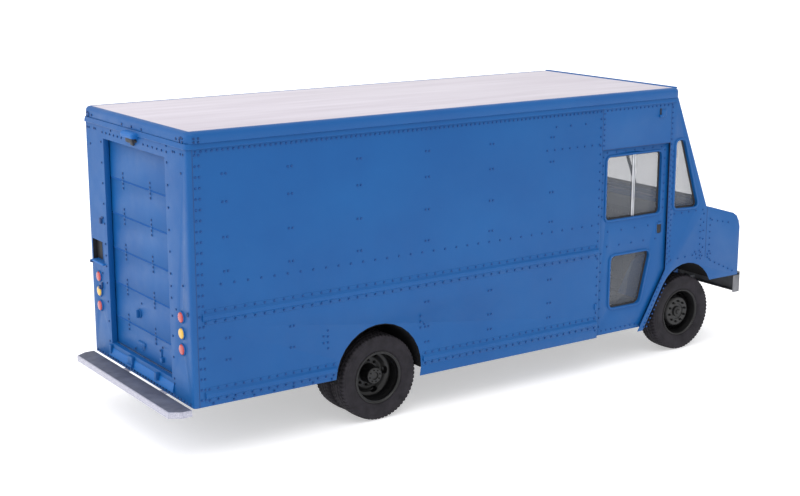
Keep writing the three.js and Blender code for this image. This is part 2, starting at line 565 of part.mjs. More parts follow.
// The rear portal is a folded sheet: a face, an outer return at each side and a return round the door
// opening.
const plateRecess = { y0: 800, y1: 1090, z0: 1530, z1: 1750, depth: 48 };
function rearFrame() {
  const x1 = rearFaceX + REAR_FRAME_DEPTH;
  const half = REAR_DOOR_WIDTH / 2;
  const corner = 40;
  const plan = rounded([[rearFaceX, -halfWidth], [rearFaceX, halfWidth], [x1 + 80, halfWidth],
    [x1 + 80, -halfWidth]], corner);
  const outer = cut(prism(plan, SKIRT_REAR, bodyTop), block(x1, x1 + 200, -halfWidth - 5, halfWidth + 5,
    0, ROOF_HEIGHT));
  const opening = block(rearFaceX - 5, x1 + 5, -half, half, floorZ, rearOpeningTop);
  const hollow = (y0, y1, z0, z1) => block(rearFaceX + SKIN, x1 + 5, y0, y1, z0, z1);
  const y1 = halfWidth - corner;
  const hollows = [
    hollow(half + SKIN, y1, SKIRT_REAR + SKIN, bodyTop - SKIN),
    hollow(-y1, -half - SKIN, SKIRT_REAR + SKIN, bodyTop - SKIN),
    hollow(-half - SKIN - 5, half + SKIN + 5, rearOpeningTop + SKIN, bodyTop - SKIN),
    hollow(-half - SKIN - 5, half + SKIN + 5, SKIRT_REAR + SKIN, floorZ - SKIN),
  ];
  const pan = block(rearFaceX + 1, rearFaceX + plateRecess.depth + SKIN, plateRecess.y0 - SKIN,
    plateRecess.y1 + SKIN,
    plateRecess.z0 - SKIN, plateRecess.z1 + SKIN);
  const recess = block(rearFaceX - 5, rearFaceX + plateRecess.depth, plateRecess.y0, plateRecess.y1,
    plateRecess.z0, plateRecess.z1);
  const lampHoles = SIDES.flatMap(([, side]) => LAMP_HEIGHTS.map((z) => rod([rearFaceX - 10,
    side * (halfWidth - LAMP_INSET), z],
    [rearFaceX + 10, side * (halfWidth - LAMP_INSET), z], LAMP_RADIUS + GAP, 24)));
  return cut(joined(cut(outer, opening, hollows), pan), recess, lampHoles);
}

// Three round lenses on one backing strip, pushed through the portal's face from behind.
function tailLamps(side) {
  const y = side * (halfWidth - LAMP_INSET);
  const back = rearFaceX + SKIN + GAP;
  const strap = block(back, back + 6, y - LAMP_RADIUS - 8, y + LAMP_RADIUS + 8, LAMP_HEIGHTS[0] - 62,
    LAMP_HEIGHTS[2] + 62);
  const lenses = LAMP_HEIGHTS.map((z) => rod([rearFaceX - 18, y, z], [back + 3, y, z], LAMP_RADIUS, 24));
  return joined(strap, lenses);
}

function roofRail() {
  const inset = 60;
  const x0 = rearFaceX;
  const x1 = roofFrontX;
  const y = halfWidth + ROOF_RAIL_OVERHANG;
  const edge = 40;
  const footprint = rounded([[x0 + edge, -y + edge], [x0 + edge, y - edge], [x1 - edge, y - edge],
    [x1 - edge, -y + edge]], 50);
  const geometry = new THREE.ExtrudeGeometry(footprint, {
    depth: ROOF_RAIL_HEIGHT, bevelEnabled: true, bevelSize: edge, bevelThickness: edge,
      bevelSegments: 3, curveSegments: 4,
  });
  const loaf = solid(geometry.translate(0, 0, roofRailZ - edge));
  const belly = block(x0 - 200, x1 + 200, -y - 200, y + 200, roofRailZ - 400, roofRailZ);
  const well = block(x0 + inset, x1 - inset, -halfWidth + inset, halfWidth - inset, roofRailZ - 100,
    ROOF_HEIGHT + 100);
  return cut(loaf, belly, well);
}

function roofPanel() {
  const inset = 60 + GAP;
  const x1 = roofFrontX - inset;
  const sheet = block(rearFaceX + inset, x1, -halfWidth + inset, halfWidth - inset, ROOF_HEIGHT - 10,
    ROOF_HEIGHT);
  const bows = [];
  for (let x = rearFaceX + 400; x < x1 - 60; x += POST_PITCH) {
    bows.push(block(x - 20, x + 20, -halfWidth + inset, halfWidth - inset, ROOF_HEIGHT - 45,
      ROOF_HEIGHT - 5));
  }
  return joined(sheet, bows);
}

// The sectional door: panels with a groove between each pair, in one plane behind the portal.
const rearDoorTop = rearOpeningTop + 20;
function rearDoor() {
  const half = REAR_DOOR_WIDTH / 2 + REAR_DOOR_LAP;
  const z0 = floorZ + 5;
  const slab = block(rearDoorX, rearDoorX + REAR_DOOR_THICKNESS, -half, half, z0, rearDoorTop);
  const joints = Array.from({ length: REAR_DOOR_PANELS - 1 },
    (_, i) => rearOpeningTop - 30 - (i + 1) * REAR_PANEL_HEIGHT);
  const grooves = joints.map((z) =>
    block(rearDoorX - 5, rearDoorX + 14, -half - 5, half + 5, z - 5, z + 5));
  return cut(slab, grooves);
}

const latch = { y: 130, z: floorZ + 435 };
function rearDoorHandle() {
  const x = rearDoorX - GAP;
  const dish = rod([x, latch.y, latch.z], [x - 14, latch.y, latch.z], 48, 24);
  const grip = block(x - 42, x - 12, latch.y - 13, latch.y + 13, latch.z - 40, latch.z + 40);
  return joined(dish, grip);
}

function rearBumper() {
  const x0 = -OVERALL_LENGTH / 2;
  const x1 = rearFaceX - 20;
  const y = halfWidth;
  const top = SKIRT_REAR - 5;
  const plan = [[x0, -y + 70], [x0 + 110, -y], [x1, -y], [x1, y], [x0 + 110, y], [x0, y - 70]];
  const step = prism(plan, top - 60, top);
  const side = [[x1 - 80, top - 55], [x1 - 80, top - 10], [frameRearX + 10, top - 10],
    [frameRearX + 10, railBottom + 60],
    [frameRearX + 160, railBottom + 60], [frameRearX + 160, railBottom + 5], [frameRearX + 60, top - 55]];
  const brackets = SIDES.map(([, hand]) => plate(side, hand * (railOuterY + GAP), hand * (railOuterY + 13)));
  return joined(step, brackets);
}

// ---------------------------------------------------------------- cab
const noseTopX = noseX - 120;
const noseTopZ = WAIST_HEIGHT - 131;
const noseLine = [
  [windscreenTop.x, windscreenTop.z], [windscreenBase.x, windscreenBase.z], [cowlX + 70, WAIST_HEIGHT - 22],
  [noseTopX, noseTopZ], [noseX - 60, noseTopZ - 40], [noseX - 22, noseTopZ - 100],
    [noseX, noseTopZ - 180], [noseX, NOSE_BOTTOM],
];
const quarterWindow = [
  [pillarX + 92, WAIST_HEIGHT + 25], [windscreenBase.x - 140, WAIST_HEIGHT + 10],
  [windscreenTop.x + 124, doorTop + 25], [pillarX + 92, doorTop + 12],
];
const windscreenHalf = halfWidth - 110;

// A four-cornered window made larger all round: front and rear edges outwards, sill down and head up.
function grown([a, b, c, d], margin) {
  return [[a[0] - margin, a[1] - margin], [b[0] + margin, b[1] - margin],
    [c[0] + margin, c[1] + margin], [d[0] - margin, d[1] + margin]];
}

const screenAngle = Math.atan2(windscreenTop.z - windscreenBase.z, windscreenTop.x - windscreenBase.x);
const screenLength = Math.hypot(windscreenTop.z - windscreenBase.z, windscreenTop.x - windscreenBase.x);

// A slab lying in the windscreen's plane: along and off run up the screen and out of its face.
function onScreen(along0, along1, y0, y1, off0, off1) {
  const geometry = new THREE.BoxGeometry(along1 - along0, y1 - y0, off1 - off0);
  geometry.translate((along0 + along1) / 2, (y0 + y1) / 2, -(off0 + off1) / 2);
  geometry.rotateY(-screenAngle);
  return solid(geometry.translate(windscreenBase.x, 0, windscreenBase.z));
}

function cabSide(side) {
  const line = [
    [seamX + GAP, bodyTop], [windscreenTop.x, bodyTop], ...noseLine.slice(1), ...archLine,
    [diagonalFoot.x, diagonalFoot.z], [stripFoot.x, stripFoot.z], [pillarX, stripHeightAt(pillarX)],
      [pillarX, doorTop],
    [seamX + GAP, doorTop],
  ];
  const skin = plate(line, side * (halfWidth - CAB_WALL), side * halfWidth);
  const head = sideBlock(side, seamX + GAP, pillarX + 20, innerY, halfWidth - CAB_WALL + 1, doorTop + 8,
    doorTop + 28);
  const reveal = plate(rounded(grown(quarterWindow, 8), 66), side * (halfWidth - WINDOW_REVEAL),
    side * (halfWidth - CAB_WALL + 1));
  return cut(joined(skin, head, reveal), plate(rounded(quarterWindow, 60), side * (halfWidth - 80),
    side * (halfWidth + 10)));
}

// Wheel wells: a curved roof over each front wheel and a wall on its inner side.
function wheelWell(side) {
  const footZ = axleZ - 60;
  const noseAngle = Math.asin((NOSE_BOTTOM - frontWell.z) / frontWell.radius) * THREE.MathUtils.RAD2DEG;
  const roofLine = arc(frontWell.x, frontWell.z, frontWell.radius, noseAngle, 118, 9);
  const line = [...roofLine, [archEndX - (archEndZ - footZ) * STRIP_LEAN - CAB_WALL, footZ]];
  const roof = plate(strip(line.slice().reverse(), -CAB_WALL), side * (wellInnerY - CAB_WALL),
    side * (halfWidth - 1));
  const wallLine = [...line, [roofLine[0][0], axleZ + 210]];
  return joined(roof, plate(wallLine, side * (wellInnerY - CAB_WALL), side * wellInnerY));
}

const headlamp = { y: halfWidth - 260, z: NOSE_BOTTOM + 330, radius: 95 };
const grilleHalf = headlamp.y - headlamp.radius - 90;
const grilleZ = { low: NOSE_BOTTOM + 130, high: NOSE_BOTTOM + 480 };
const hoodX0 = cowlX + 70;
const hoodHalf = halfWidth - 200;

function cabShell() {
  const wrap = plate(strip(noseLine, CAB_WALL), -halfWidth + 1, halfWidth - 1);
  const screenHole = onScreen(90, screenLength - 150, -windscreenHalf, windscreenHalf, -60, 60);
  const hoodHole = block(hoodX0, noseX - 75, -hoodHalf, hoodHalf, noseTopZ - 90, WAIST_HEIGHT + 50);
  const grilleHole = block(noseX - 60, noseX + 20, -grilleHalf, grilleHalf, grilleZ.low, grilleZ.high);
  const lampHoles = SIDES.map(([, side]) => rod([noseX - 60, side * headlamp.y, headlamp.z],
    [noseX + 20, side * headlamp.y, headlamp.z],
    headlamp.radius + GAP, 24));
  const firewall = cut(
    block(firewallX, firewallX + CAB_WALL, -halfWidth + 3, halfWidth - 3,
      frontWell.z + frontWell.radius - 60, WAIST_HEIGHT - 20),
    block(firewallX - 5, firewallX + 20, -engineHalf - 60, engineHalf + 60, 0, railTop + 520));
  return joined(cut(wrap, screenHole, hoodHole, grilleHole, lampHoles),
    SIDES.map(([, side]) => cabSide(side)),
    SIDES.map(([, side]) => wheelWell(side)), firewall);
}

function hood() {
  const line = [[hoodX0 + 3, WAIST_HEIGHT - 23], [noseTopX, noseTopZ], [noseX - 78, noseTopZ - 26]];
  return plate(strip(line, CAB_WALL), -hoodHalf + 3, hoodHalf - 3);
}

function grille() {
  const x0 = noseX - 30;
  const frameOuter = block(x0, noseX - 2, -grilleHalf + GAP, grilleHalf - GAP, grilleZ.low + GAP,
    grilleZ.high - GAP);
  const slots = [];
  for (let z = grilleZ.low + 25; z < grilleZ.high - 50; z += 60) {
    slots.push(block(x0 - 5, noseX + 5, -grilleHalf + 25, grilleHalf - 25, z, z + 36));
  }
  return cut(frameOuter, slots);
}

function headlampUnit(side) {
  const y = side * headlamp.y;
  return joined(
    rod([noseX - 40, y, headlamp.z], [noseX + 14, y, headlamp.z], headlamp.radius, 24),
    rod([noseX - 110, y, headlamp.z], [noseX - 30, y, headlamp.z], headlamp.radius * 0.6, 16));
}

function frontBumper() {
  const low = NOSE_BOTTOM - 215;
  const high = NOSE_BOTTOM + 30;
  const face = block(frontX - 12, frontX, -halfWidth, halfWidth, low, high);
  const flanges = [[low, low + 10], [high - 10, high]].map(([z0, z1]) => block(noseX + GAP, frontX,
    -halfWidth, halfWidth, z0, z1));
  const ends = SIDES.map(([, side]) => sideBlock(side, frontX - 110, frontX, halfWidth - 6, halfWidth,
    low, NOSE_BOTTOM - 8));
  const brackets = SIDES.map(([, side]) => sideBlock(side, frameFrontX - 100, frontX - 5,
    railOuterY + GAP, railOuterY + 16, low + 20, railTop - 20));
  return joined(face, flanges, ends, brackets);
}

add("floor", floor(), darkPlastic);
SIDES.forEach(([hand, side]) => add(`side_panel_${hand}`, sidePanel(side), blueEnamel));
add("roof_panel", roofPanel(), whitePanel);
add("roof_rail", roofRail(), blueEnamel);
add("rear_frame", rearFrame(), blueEnamel);
SIDES.forEach(([hand, side]) => add(`tail_lamps_${hand}`, tailLamps(side), redLens));
add("rear_door", rearDoor(), blueEnamel);
add("rear_door_handle", rearDoorHandle(), blueEnamel);
add("rear_bumper", rearBumper(), steelGrey);
add("cab_shell", cabShell(), blueEnamel);
add("hood", hood(), blueEnamel);
add("grille", grille(), darkPlastic);
SIDES.forEach(([hand, side]) => add(`headlamp_${hand}`, headlampUnit(side), whiteLens));
add("front_bumper", frontBumper(), steelGrey);

// ---------------------------------------------------------------- glass
add("windscreen", onScreen(60, screenLength - 120, -windscreenHalf - 30, windscreenHalf + 30,
  -CAB_WALL - GAP - GLASS, -CAB_WALL - GAP), clearGlass);
SIDES.forEach(([hand, side]) => {
  const outer = halfWidth - WINDOW_REVEAL - GAP;
  add(`quarter_window_${hand}`, plate(rounded(grown(quarterWindow, 14), 60), side * (outer - GLASS),
    side * outer), clearGlass);
});

// ---------------------------------------------------------------- cab doors
const doorRearX = seamX - DOOR_LAP;
const doorFrontX = pillarX + DOOR_LAP;
const upperWindow = { x0: seamX + WINDOW_MARGIN + 15, x1: pillarX - WINDOW_MARGIN - 15,
  z0: WAIST_HEIGHT, z1: doorTop - WINDOW_MARGIN };
const lowerSill = doorBottom + 326;
const lowerHead = WAIST_HEIGHT - 413;
const lowerWindow = [
  [seamX + 190, lowerSill - 38], [pillarX - 370, lowerSill - 38], [pillarX - 225, lowerHead],
    [seamX + 195, lowerHead],
];

function doorPanel(side) {
  const slope = [[stripFoot.x + DOOR_LAP + (doorBottom - stripFoot.z) * STRIP_LEAN, doorBottom],
    [doorFrontX, stripHeightAt(pillarX)]];
  const edge = [[doorRearX, doorBottom], slope[0], slope[1], [doorFrontX, doorTop - 4],
    [doorRearX, doorTop - 4]];
  const upper = [[upperWindow.x0, upperWindow.z0], [upperWindow.x1, upperWindow.z0],
    [upperWindow.x1, upperWindow.z1], [upperWindow.x0, upperWindow.z1]];
  const openings = [rounded(upper, 55), rounded(lowerWindow, 70)].map((shape) => plate(shape,
    side * (doorInnerY - 5), side * (doorOuterY + 5)));
  return cut(plate(edge, side * doorInnerY, side * doorOuterY), openings);
}

// Both panes of a door are one sheet, clamped to the inside of the panel.
function doorGlass(side) {
  const margin = 25;
  const sheet = [[lowerWindow[0][0] - margin, lowerWindow[0][1] - margin], [lowerWindow[1][0] + margin,
    lowerWindow[1][1] - margin],
    [lowerWindow[2][0] + margin, lowerWindow[2][1] + margin], [upperWindow.x1 + margin,
      upperWindow.z0 - margin],
    [upperWindow.x1 + margin, upperWindow.z1 + margin], [upperWindow.x0 - margin, upperWindow.z1 + margin],
    [upperWindow.x0 - margin, upperWindow.z0 - margin], [lowerWindow[3][0] - margin,
      lowerWindow[3][1] + margin]];
  return plate(sheet, side * (doorInnerY - GAP - GLASS), side * (doorInnerY - GAP));
}

SIDES.forEach(([hand, side]) => {
  add(`door_${hand}`, doorPanel(side), blueEnamel);
  add(`door_glass_${hand}`, doorGlass(side), clearGlass);
});

// ---------------------------------------------------------------- cab fittings
const bulkheadX = seamX - 40;
function bulkhead() {
  const wall = block(bulkheadX, bulkheadX + 10, -innerY + GAP, innerY - GAP, floorZ + GAP, bodyTop);
  return cut(wall, block(bulkheadX - 5, bulkheadX + 20, -380, 380, floorZ - 5, floorZ + 1950));
}

const coverTop = railTop + 530;
function engineCover() {
  const half = engineHalf + 55;
  const outer = block(frontAxleX - 240, firewallX - GAP, -half, half, floorZ + GAP, coverTop);
  return cut(outer, block(frontAxleX - 234, firewallX + 5, -half + 6, half - 6, floorZ - 5, coverTop - 6));
}

const driverY = 480;
const dashBottom = Math.max(WAIST_HEIGHT - 330, coverTop + 5);
const dashLine = [[firewallX - 230, dashBottom], [firewallX - GAP, dashBottom],
  [firewallX - GAP, WAIST_HEIGHT - 70],
  [firewallX - 120, WAIST_HEIGHT - 60], [firewallX - 230, WAIST_HEIGHT - 150]];
const wheelTilt = THREE.MathUtils.degToRad(35);
const columnTop = { x: firewallX - 470, z: floorZ + 830 };
const columnRun = { x: Math.cos(Math.PI / 2 - wheelTilt), z: -Math.sin(Math.PI / 2 - wheelTilt) };

function columnPoint(distance) {
  return [columnTop.x + columnRun.x * distance, driverY, columnTop.z + columnRun.z * distance];
}

function steeringWheel() {
  const rim = new THREE.TorusGeometry(225, 15, 8, 32).applyQuaternion(
    new THREE.Quaternion().setFromUnitVectors(AXES.z, new THREE.Vector3(columnRun.x, 0, columnRun.z)));
  const ring = solid(rim.translate(columnTop.x, driverY, columnTop.z));
  const hub = rod(columnPoint(-20), columnPoint(50), 42, 16);
  const up = new THREE.Vector3(-columnRun.z, 0, columnRun.x);
  const spokes = [90, 210, 330].map((degrees) => {
    const angle = THREE.MathUtils.degToRad(degrees);
    const reach = up.clone().multiplyScalar(Math.sin(angle)).add(new THREE.Vector3(0, Math.cos(angle),
      0)).multiplyScalar(222);
    const [x, y, z] = columnPoint(0);
    return rod([x, y, z], [x + reach.x, y + reach.y, z + reach.z], 10, 8);
  });
  return joined(ring, hub, spokes);
}

const pedalPivot = { x: firewallX - 60, z: dashBottom - 15 };
function pedal(y, width) {
  const boss = rod([pedalPivot.x, y - 12, pedalPivot.z - 20], [pedalPivot.x, y + 12, pedalPivot.z - 20],
    14, 12);
  const foot = { x: pedalPivot.x - 130, z: floorZ + 190 };
  const arm = plate([[pedalPivot.x - 8, pedalPivot.z - 20], [pedalPivot.x + 8, pedalPivot.z - 20],
    [foot.x + 14, foot.z], [foot.x - 4, foot.z]],
    y - 6, y + 6);
  const pad = plate([[foot.x - 22, foot.z - 60], [foot.x - 6, foot.z - 66], [foot.x + 22, foot.z + 60],
    [foot.x + 6, foot.z + 66]],
    y - width / 2, y + width / 2);
  return joined(boss, arm, pad);
}

const seatX = seamX + 380;
function seatPedestal() {
  const top = floorZ + 330;
  return joined(
    block(seatX - 160, seatX + 160, driverY - 150, driverY + 150, floorZ + GAP, floorZ + 20),
    rod([seatX, driverY, floorZ + 10], [seatX, driverY, top - 10], 60),
    block(seatX - 200, seatX + 200, driverY - 190, driverY + 190, top - 20, top));
}

function seat() {
  const z = floorZ + 330 + GAP;
  const side = [[seatX - 250, z], [seatX + 250, z], [seatX + 260, z + 100], [seatX - 140, z + 110],
    [seatX - 250, z + 720],
    [seatX - 340, z + 700], [seatX - 260, z + 60]];
  return plate(rounded(side, 50), driverY - 240, driverY + 240);
}

// A wiper lies along the foot of the windscreen and turns about a pin that stands out of the cowl.
function wiper(y, length) {
  const pin = onScreen(14, 44, y - 15, y + 15, 1, 34);
  const arm = onScreen(22, 36, y - length, y, 22, 32);
  const blade = onScreen(24, 34, y - length, y - length * 0.12, 4, 24);
  return joined(pin, arm, blade);
}

add("bulkhead", bulkhead(), whitePanel);
add("engine_cover", engineCover(), darkPlastic);
add("dashboard", cut(plate(dashLine, -halfWidth + 40, halfWidth - 40),
  rod(columnPoint(0), columnPoint(600), COLUMN_RADIUS + 6, 16)), darkPlastic);
add("steering_column", rod(columnPoint(54), columnPoint(470), COLUMN_RADIUS, 16), darkPlastic);
add("steering_wheel", steeringWheel(), darkPlastic);
add("accelerator_pedal", pedal(driverY - 110, 60), chassisBlack);
add("brake_pedal", pedal(driverY + 10, 90), chassisBlack);
add("seat_pedestal", seatPedestal(), chassisBlack);
add("seat", seat(), seatVinyl);
add("radiator", block(noseX - 125, noseX - 75, -engineHalf - 40, engineHalf + 40, railTop + GAP,
  WAIST_HEIGHT - 300), castIron);
SIDES.forEach(([hand, side]) => add(`wiper_${hand}`, wiper(side > 0 ? 900 : -60, 560), chassisBlack));

export default truck;
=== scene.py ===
# %% [markdown]
# # A walk-in delivery truck
# The truck is a riveted aluminium box on a ladder frame. The sizes all come from a packed
# CAD model, which is loaded first and never moved. This lesson adds what a maker would see
# up close: paint, rivets, seals, lamps, tyres, seats and the small fittings.

# %% Load the frame
import math

import bmesh
import bpy
import numpy as np
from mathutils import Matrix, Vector


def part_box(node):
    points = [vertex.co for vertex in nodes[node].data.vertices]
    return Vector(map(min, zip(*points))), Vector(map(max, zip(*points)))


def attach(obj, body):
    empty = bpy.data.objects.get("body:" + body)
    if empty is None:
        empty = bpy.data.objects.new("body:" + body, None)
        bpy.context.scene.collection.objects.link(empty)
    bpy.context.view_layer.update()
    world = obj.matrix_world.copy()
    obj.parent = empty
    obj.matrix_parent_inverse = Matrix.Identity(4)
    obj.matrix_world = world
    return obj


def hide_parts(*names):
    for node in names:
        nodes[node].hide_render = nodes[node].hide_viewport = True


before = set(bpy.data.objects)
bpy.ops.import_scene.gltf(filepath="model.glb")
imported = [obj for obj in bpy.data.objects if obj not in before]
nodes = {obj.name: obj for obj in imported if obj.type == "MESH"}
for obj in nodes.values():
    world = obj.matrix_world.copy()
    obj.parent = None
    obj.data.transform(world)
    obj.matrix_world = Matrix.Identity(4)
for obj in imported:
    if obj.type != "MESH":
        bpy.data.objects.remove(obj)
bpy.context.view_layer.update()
print("CAD nodes:", len(nodes))

# %% [markdown]
# The camera stands behind the truck's right-hand tail corner, a little above the roof line
# of a small car, with a lens slightly longer than normal. It is placed by azimuth and
# elevation round a point near the middle of the load space.

# %% Camera
LENS_MM = 65.2
CAMERA_AZIMUTH = math.radians(-34.42)
CAMERA_ELEVATION = math.radians(12.93)
CAMERA_DISTANCE = 15.834
LOOK_AT = np.array([-0.404, 0.0, 1.445])

back = np.array([
    math.sin(CAMERA_AZIMUTH) * math.cos(CAMERA_ELEVATION),
    -math.cos(CAMERA_AZIMUTH) * math.cos(CAMERA_ELEVATION),
    math.sin(CAMERA_ELEVATION),
])
scene = bpy.context.scene
camera_data = bpy.data.cameras.new("camera")
camera_data.lens = LENS_MM
camera_data.sensor_width = 36.0
camera_data.clip_end = 200.0
camera = bpy.data.objects.new("camera", camera_data)
scene.collection.objects.link(camera)
camera.location = LOOK_AT + back * CAMERA_DISTANCE
camera.rotation_mode = "QUATERNION"
camera.rotation_quaternion = (-Vector(back)).to_track_quat("-Z", "Y")
scene.camera = camera

# %% [markdown]
# The floor is pale and plain, and the light is that of a white tent: the sky is even and
# white all round, so every face gets soft light and a faint white sheen. One very broad sun
# overhead adds the soft shadow that holds the truck to the ground, and a weak one behind the
# truck lifts its tail.

# %% Light
def linear(hex_colour):
    """An sRGB colour such as "2a60aa" as linear red, green, blue and 1."""
    channels = [int(hex_colour[i:i + 2], 16) / 255 for i in (0, 2, 4)]
    return [c / 12.92 if c <= 0.04045 else ((c + 0.055) / 1.055) ** 2.4 for c in channels] + [1.0]


def broad_sun(name, towards, strength, angle_degrees):
    """Light from one side of the sky, spread over so many degrees; towards is where it shines."""
    data = bpy.data.lights.new(name, "SUN")
    data.energy = strength
    data.angle = math.radians(angle_degrees)
    light = bpy.data.objects.new(name, data)
    scene.collection.objects.link(light)
    light.rotation_mode = "QUATERNION"
    light.rotation_quaternion = Vector(towards).to_track_quat("-Z", "Y")


WHITE_LIGHT = (1.0, 1.0, 1.0, 1.0)
SKY_STRENGTH = 0.88
broad_sun("overhead", (0.25, 0.3, -1.0), 1.0, 50)
broad_sun("tail_fill", (1.0, -0.3, -0.35), 0.85, 60)
world = bpy.data.worlds.new("studio")
world.use_nodes = True
world.node_tree.nodes["Background"].inputs["Color"].default_value = WHITE_LIGHT
world.node_tree.nodes["Background"].inputs["Strength"].default_value = SKY_STRENGTH
scene.world = world
scene.view_settings.view_transform = "Standard"

# %% [markdown]
# Every finish starts from one helper that makes a node, sets its sockets and links it, so a
# material reads as a short list of what happens to the light. Nearly all of them then want
# the same three things: two close tones that run into each other, a gloss that is better in
# some places than in others, and a shallow relief. One function gives a finish all three.
# A pattern is smooth noise, written as blotches to the metre, detail and roughness, and it
# seldom leaves the band from 0.3 to 0.7, so that band is stretched before it is used.

# %% Material helpers
NOISE_BAND = {"From Min": 0.3, "From Max": 0.7}


def node(tree, kind, settings=None, links=None, **attributes):
    """One shader node: attributes are its properties, settings its socket values, links its inputs."""
    made = tree.nodes.new(kind)
    for key, value in attributes.items():
        setattr(made, key, value)
    for key, value in (settings or {}).items():
        made.inputs[key].default_value = value
    for key, source in (links or {}).items():
        tree.links.new(source, made.inputs[key])
    return made


def material(name, colour, roughness, **sockets):
    """A material with one Principled shader; returns the material, its tree and the shader."""
    made = bpy.data.materials.new(name)
    made.use_nodes = True
    shader = made.node_tree.nodes["Principled BSDF"]
    shader.inputs["Base Color"].default_value = linear(colour)
    shader.inputs["Roughness"].default_value = roughness
    for key, value in sockets.items():
        shader.inputs[key.replace("_", " ")].default_value = value
    made.diffuse_color = linear(colour)
    return made, made.node_tree, shader


def finish(name, colour, roughness, tones, patterns, depth_mm, strength, gloss=None, stretch=None,
    **sockets):
    """A surface with two tones, a relief of depth_mm and perhaps an uneven gloss.

    patterns gives the noise for "tone" and "relief", and for "gloss" and "peel" where there
    are any. peel is a finer relief laid over the first at PEEL_SHARE of its height. gloss is
    the lowest and highest roughness. stretch draws the tones out along an axis.
    """
    made, tree, shader = material(name, colour, roughness, **sockets)
    place = node(tree, "ShaderNodeTexCoord").outputs["Object"]
    where = {}
    if stretch:
        where["tone"] = node(tree, "ShaderNodeMapping", {"Scale": stretch},
            {"Vector": place}).outputs["Vector"]
    noises = {
        use: node(tree, "ShaderNodeTexNoise", {"Scale": per_metre, "Detail": detail, "Roughness": rough},
                  {"Vector": where.get(use, place)}).outputs["Fac"]
        for use, (per_metre, detail, rough) in patterns.items()
    }
    share = node(tree, "ShaderNodeMapRange", NOISE_BAND, {"Value": noises["tone"]}).outputs["Result"]
    mixed = node(tree, "ShaderNodeMix", {"A": linear(tones[0]), "B": linear(tones[1])}, {"Factor": share},
                 data_type="RGBA")
    tree.links.new(mixed.outputs["Result"], shader.inputs["Base Color"])
    if gloss:
        dulled = node(tree, "ShaderNodeMapRange", {**NOISE_BAND, "To Min": gloss[0], "To Max": gloss[1]},
                      {"Value": noises["gloss"]})
        tree.links.new(dulled.outputs["Result"], shader.inputs["Roughness"])
    height = noises["relief"]
    if "peel" in noises:
        peel = node(tree, "ShaderNodeMath", {1: PEEL_SHARE}, {0: noises["peel"]}, operation="MULTIPLY")
        height = node(tree, "ShaderNodeMath", {}, {0: height, 1: peel.outputs[0]},
            operation="ADD").outputs[0]
    relief = node(tree, "ShaderNodeBump", {"Strength": strength, "Distance": depth_mm / 1000},
        {"Height": height})
    tree.links.new(relief.outputs["Normal"], shader.inputs["Normal"])
    return made


# %% [markdown]
# The body is riveted aluminium sheet under blue enamel, sprayed by hand. Sprayed enamel has
# a faint orange-peel relief about 4.5 mm across, and thin sheet between rivets is never quite
# flat, so its reflections wander over half a metre. A little road film dulls it in patches.

# %% Blue enamel
PEEL_SHARE = 0.12
BLUE = finish(
    "blue_enamel", "065292", 0.46, ("034f90", "085697"),
    {"tone": (1.1, 4.0, 0.55), "gloss": (6.0, 5.0, 0.55), "relief": (1.6, 1.0, 0.55),
    "peel": (220.0, 1.0, 0.55)},
    6.0, 0.35, gloss=(0.4, 0.52), IOR=1.38)

# %% [markdown]
# Four more blues come from the same tin. Rivet heads are too small to carry a pattern that
# shows, so they are drawn darker as painted shade round their edges, and darkest on the
# tail. The beads in the door's joints are plain matt enamel, and the folded strips and ledges
# that face up are drawn brighter as a painted highlight.

# %% Enamel with painted shade and painted highlight
# Both rivet blues are darker than the body's blue: painted shade round the heads.
RIVET_PAINTED_SHADE_DARKEST = material("enamel_rivets_painted_shade_darkest", "06366c", 0.5, IOR=1.4)[0]
RIVET_PAINTED_SHADE = material("enamel_rivets_painted_shade", "064180", 0.5, IOR=1.4)[0]
JOINT_BLUE = material("enamel_in_joints", "074c90", 0.75, IOR=1.3)[0]
# A brighter blue: a painted highlight on strips and ledges that face the light.
STRIP_PAINTED_HIGHLIGHT = material("enamel_painted_highlight", "0560aa", 0.5, IOR=1.4)[0]

# %% [markdown]
# The roof panel is white gel-coated sheet. It is flatter and less glossy than the enamel, with
# faint grey streaks some 300 mm wide that run along it where rain dries. The rear step is
# rolled steel in silver paint. Its surface is pitted, and the pits are drawn 11 mm apart,
# coarser than real ones, so that they still read from across a yard.

# %% White roof sheet and silver paint
WHITE = finish(
    "white_gelcoat", "cdc6d0", 0.5, ("c6bfc9", "d2ccd6"), {"tone": (3.0, 6.0, 0.5),
    "relief": (1.2, 2.0, 0.55)},
    5.0, 0.3, stretch=(0.25, 2.2, 1.0), IOR=1.4)
PITS = (90.0, 5.0, 0.7)
SILVER = finish(
    "silver_paint", "a9abb8", 0.5, ("8d90a2", "d4d2dc"), {"tone": PITS, "relief": PITS,
    "gloss": (14.0, 3.0, 0.55)},
    2.0, 0.6, gloss=(0.4, 0.62), Metallic=0.45)

# %% [markdown]
# The rest are moulded, cast or sprayed in one go. Their colour clouds over about 140 mm, and
# each has its own grain. Real grains of 0.2 to 1 mm are too fine to show from here, so the
# number to the metre is kept low enough, 1.4 to 17 mm from grain to grain, to catch the light.

# %% Rubber, paint, plastic and plate
RUBBER = finish(  # nearly black with carbon, browner and paler where dust settles
    "tyre_rubber", "1c1a1e", 0.85, ("17151a", "2b282e"), {"tone": (9.0, 6.0, 0.6),
    "relief": (400.0, 2.0, 0.55)},
    0.6, 0.4, IOR=1.4)


def grained(name, dark, light, roughness, grain_per_metre, depth_mm, **sockets):
    """A finish of two close tones and an even grain of the given depth."""
    patterns = {"tone": (7.0, 4.0, 0.55), "relief": (grain_per_metre, 2.0, 0.55)}
    return finish(name, dark, roughness, (dark, light), patterns, depth_mm, 0.5, **sockets)


# Extruded rubber seal: near black and dull, so it draws a dark line round a pane.
SEAL = grained("epdm_seal", "17171a", "202024", 0.6, 300.0, 0.3)
# Chassis black, brushed on thickly: a soft sheen over small runs.
BLACK_STEEL = grained("black_chassis_paint", "161618", "222226", 0.5, 160.0, 0.5)
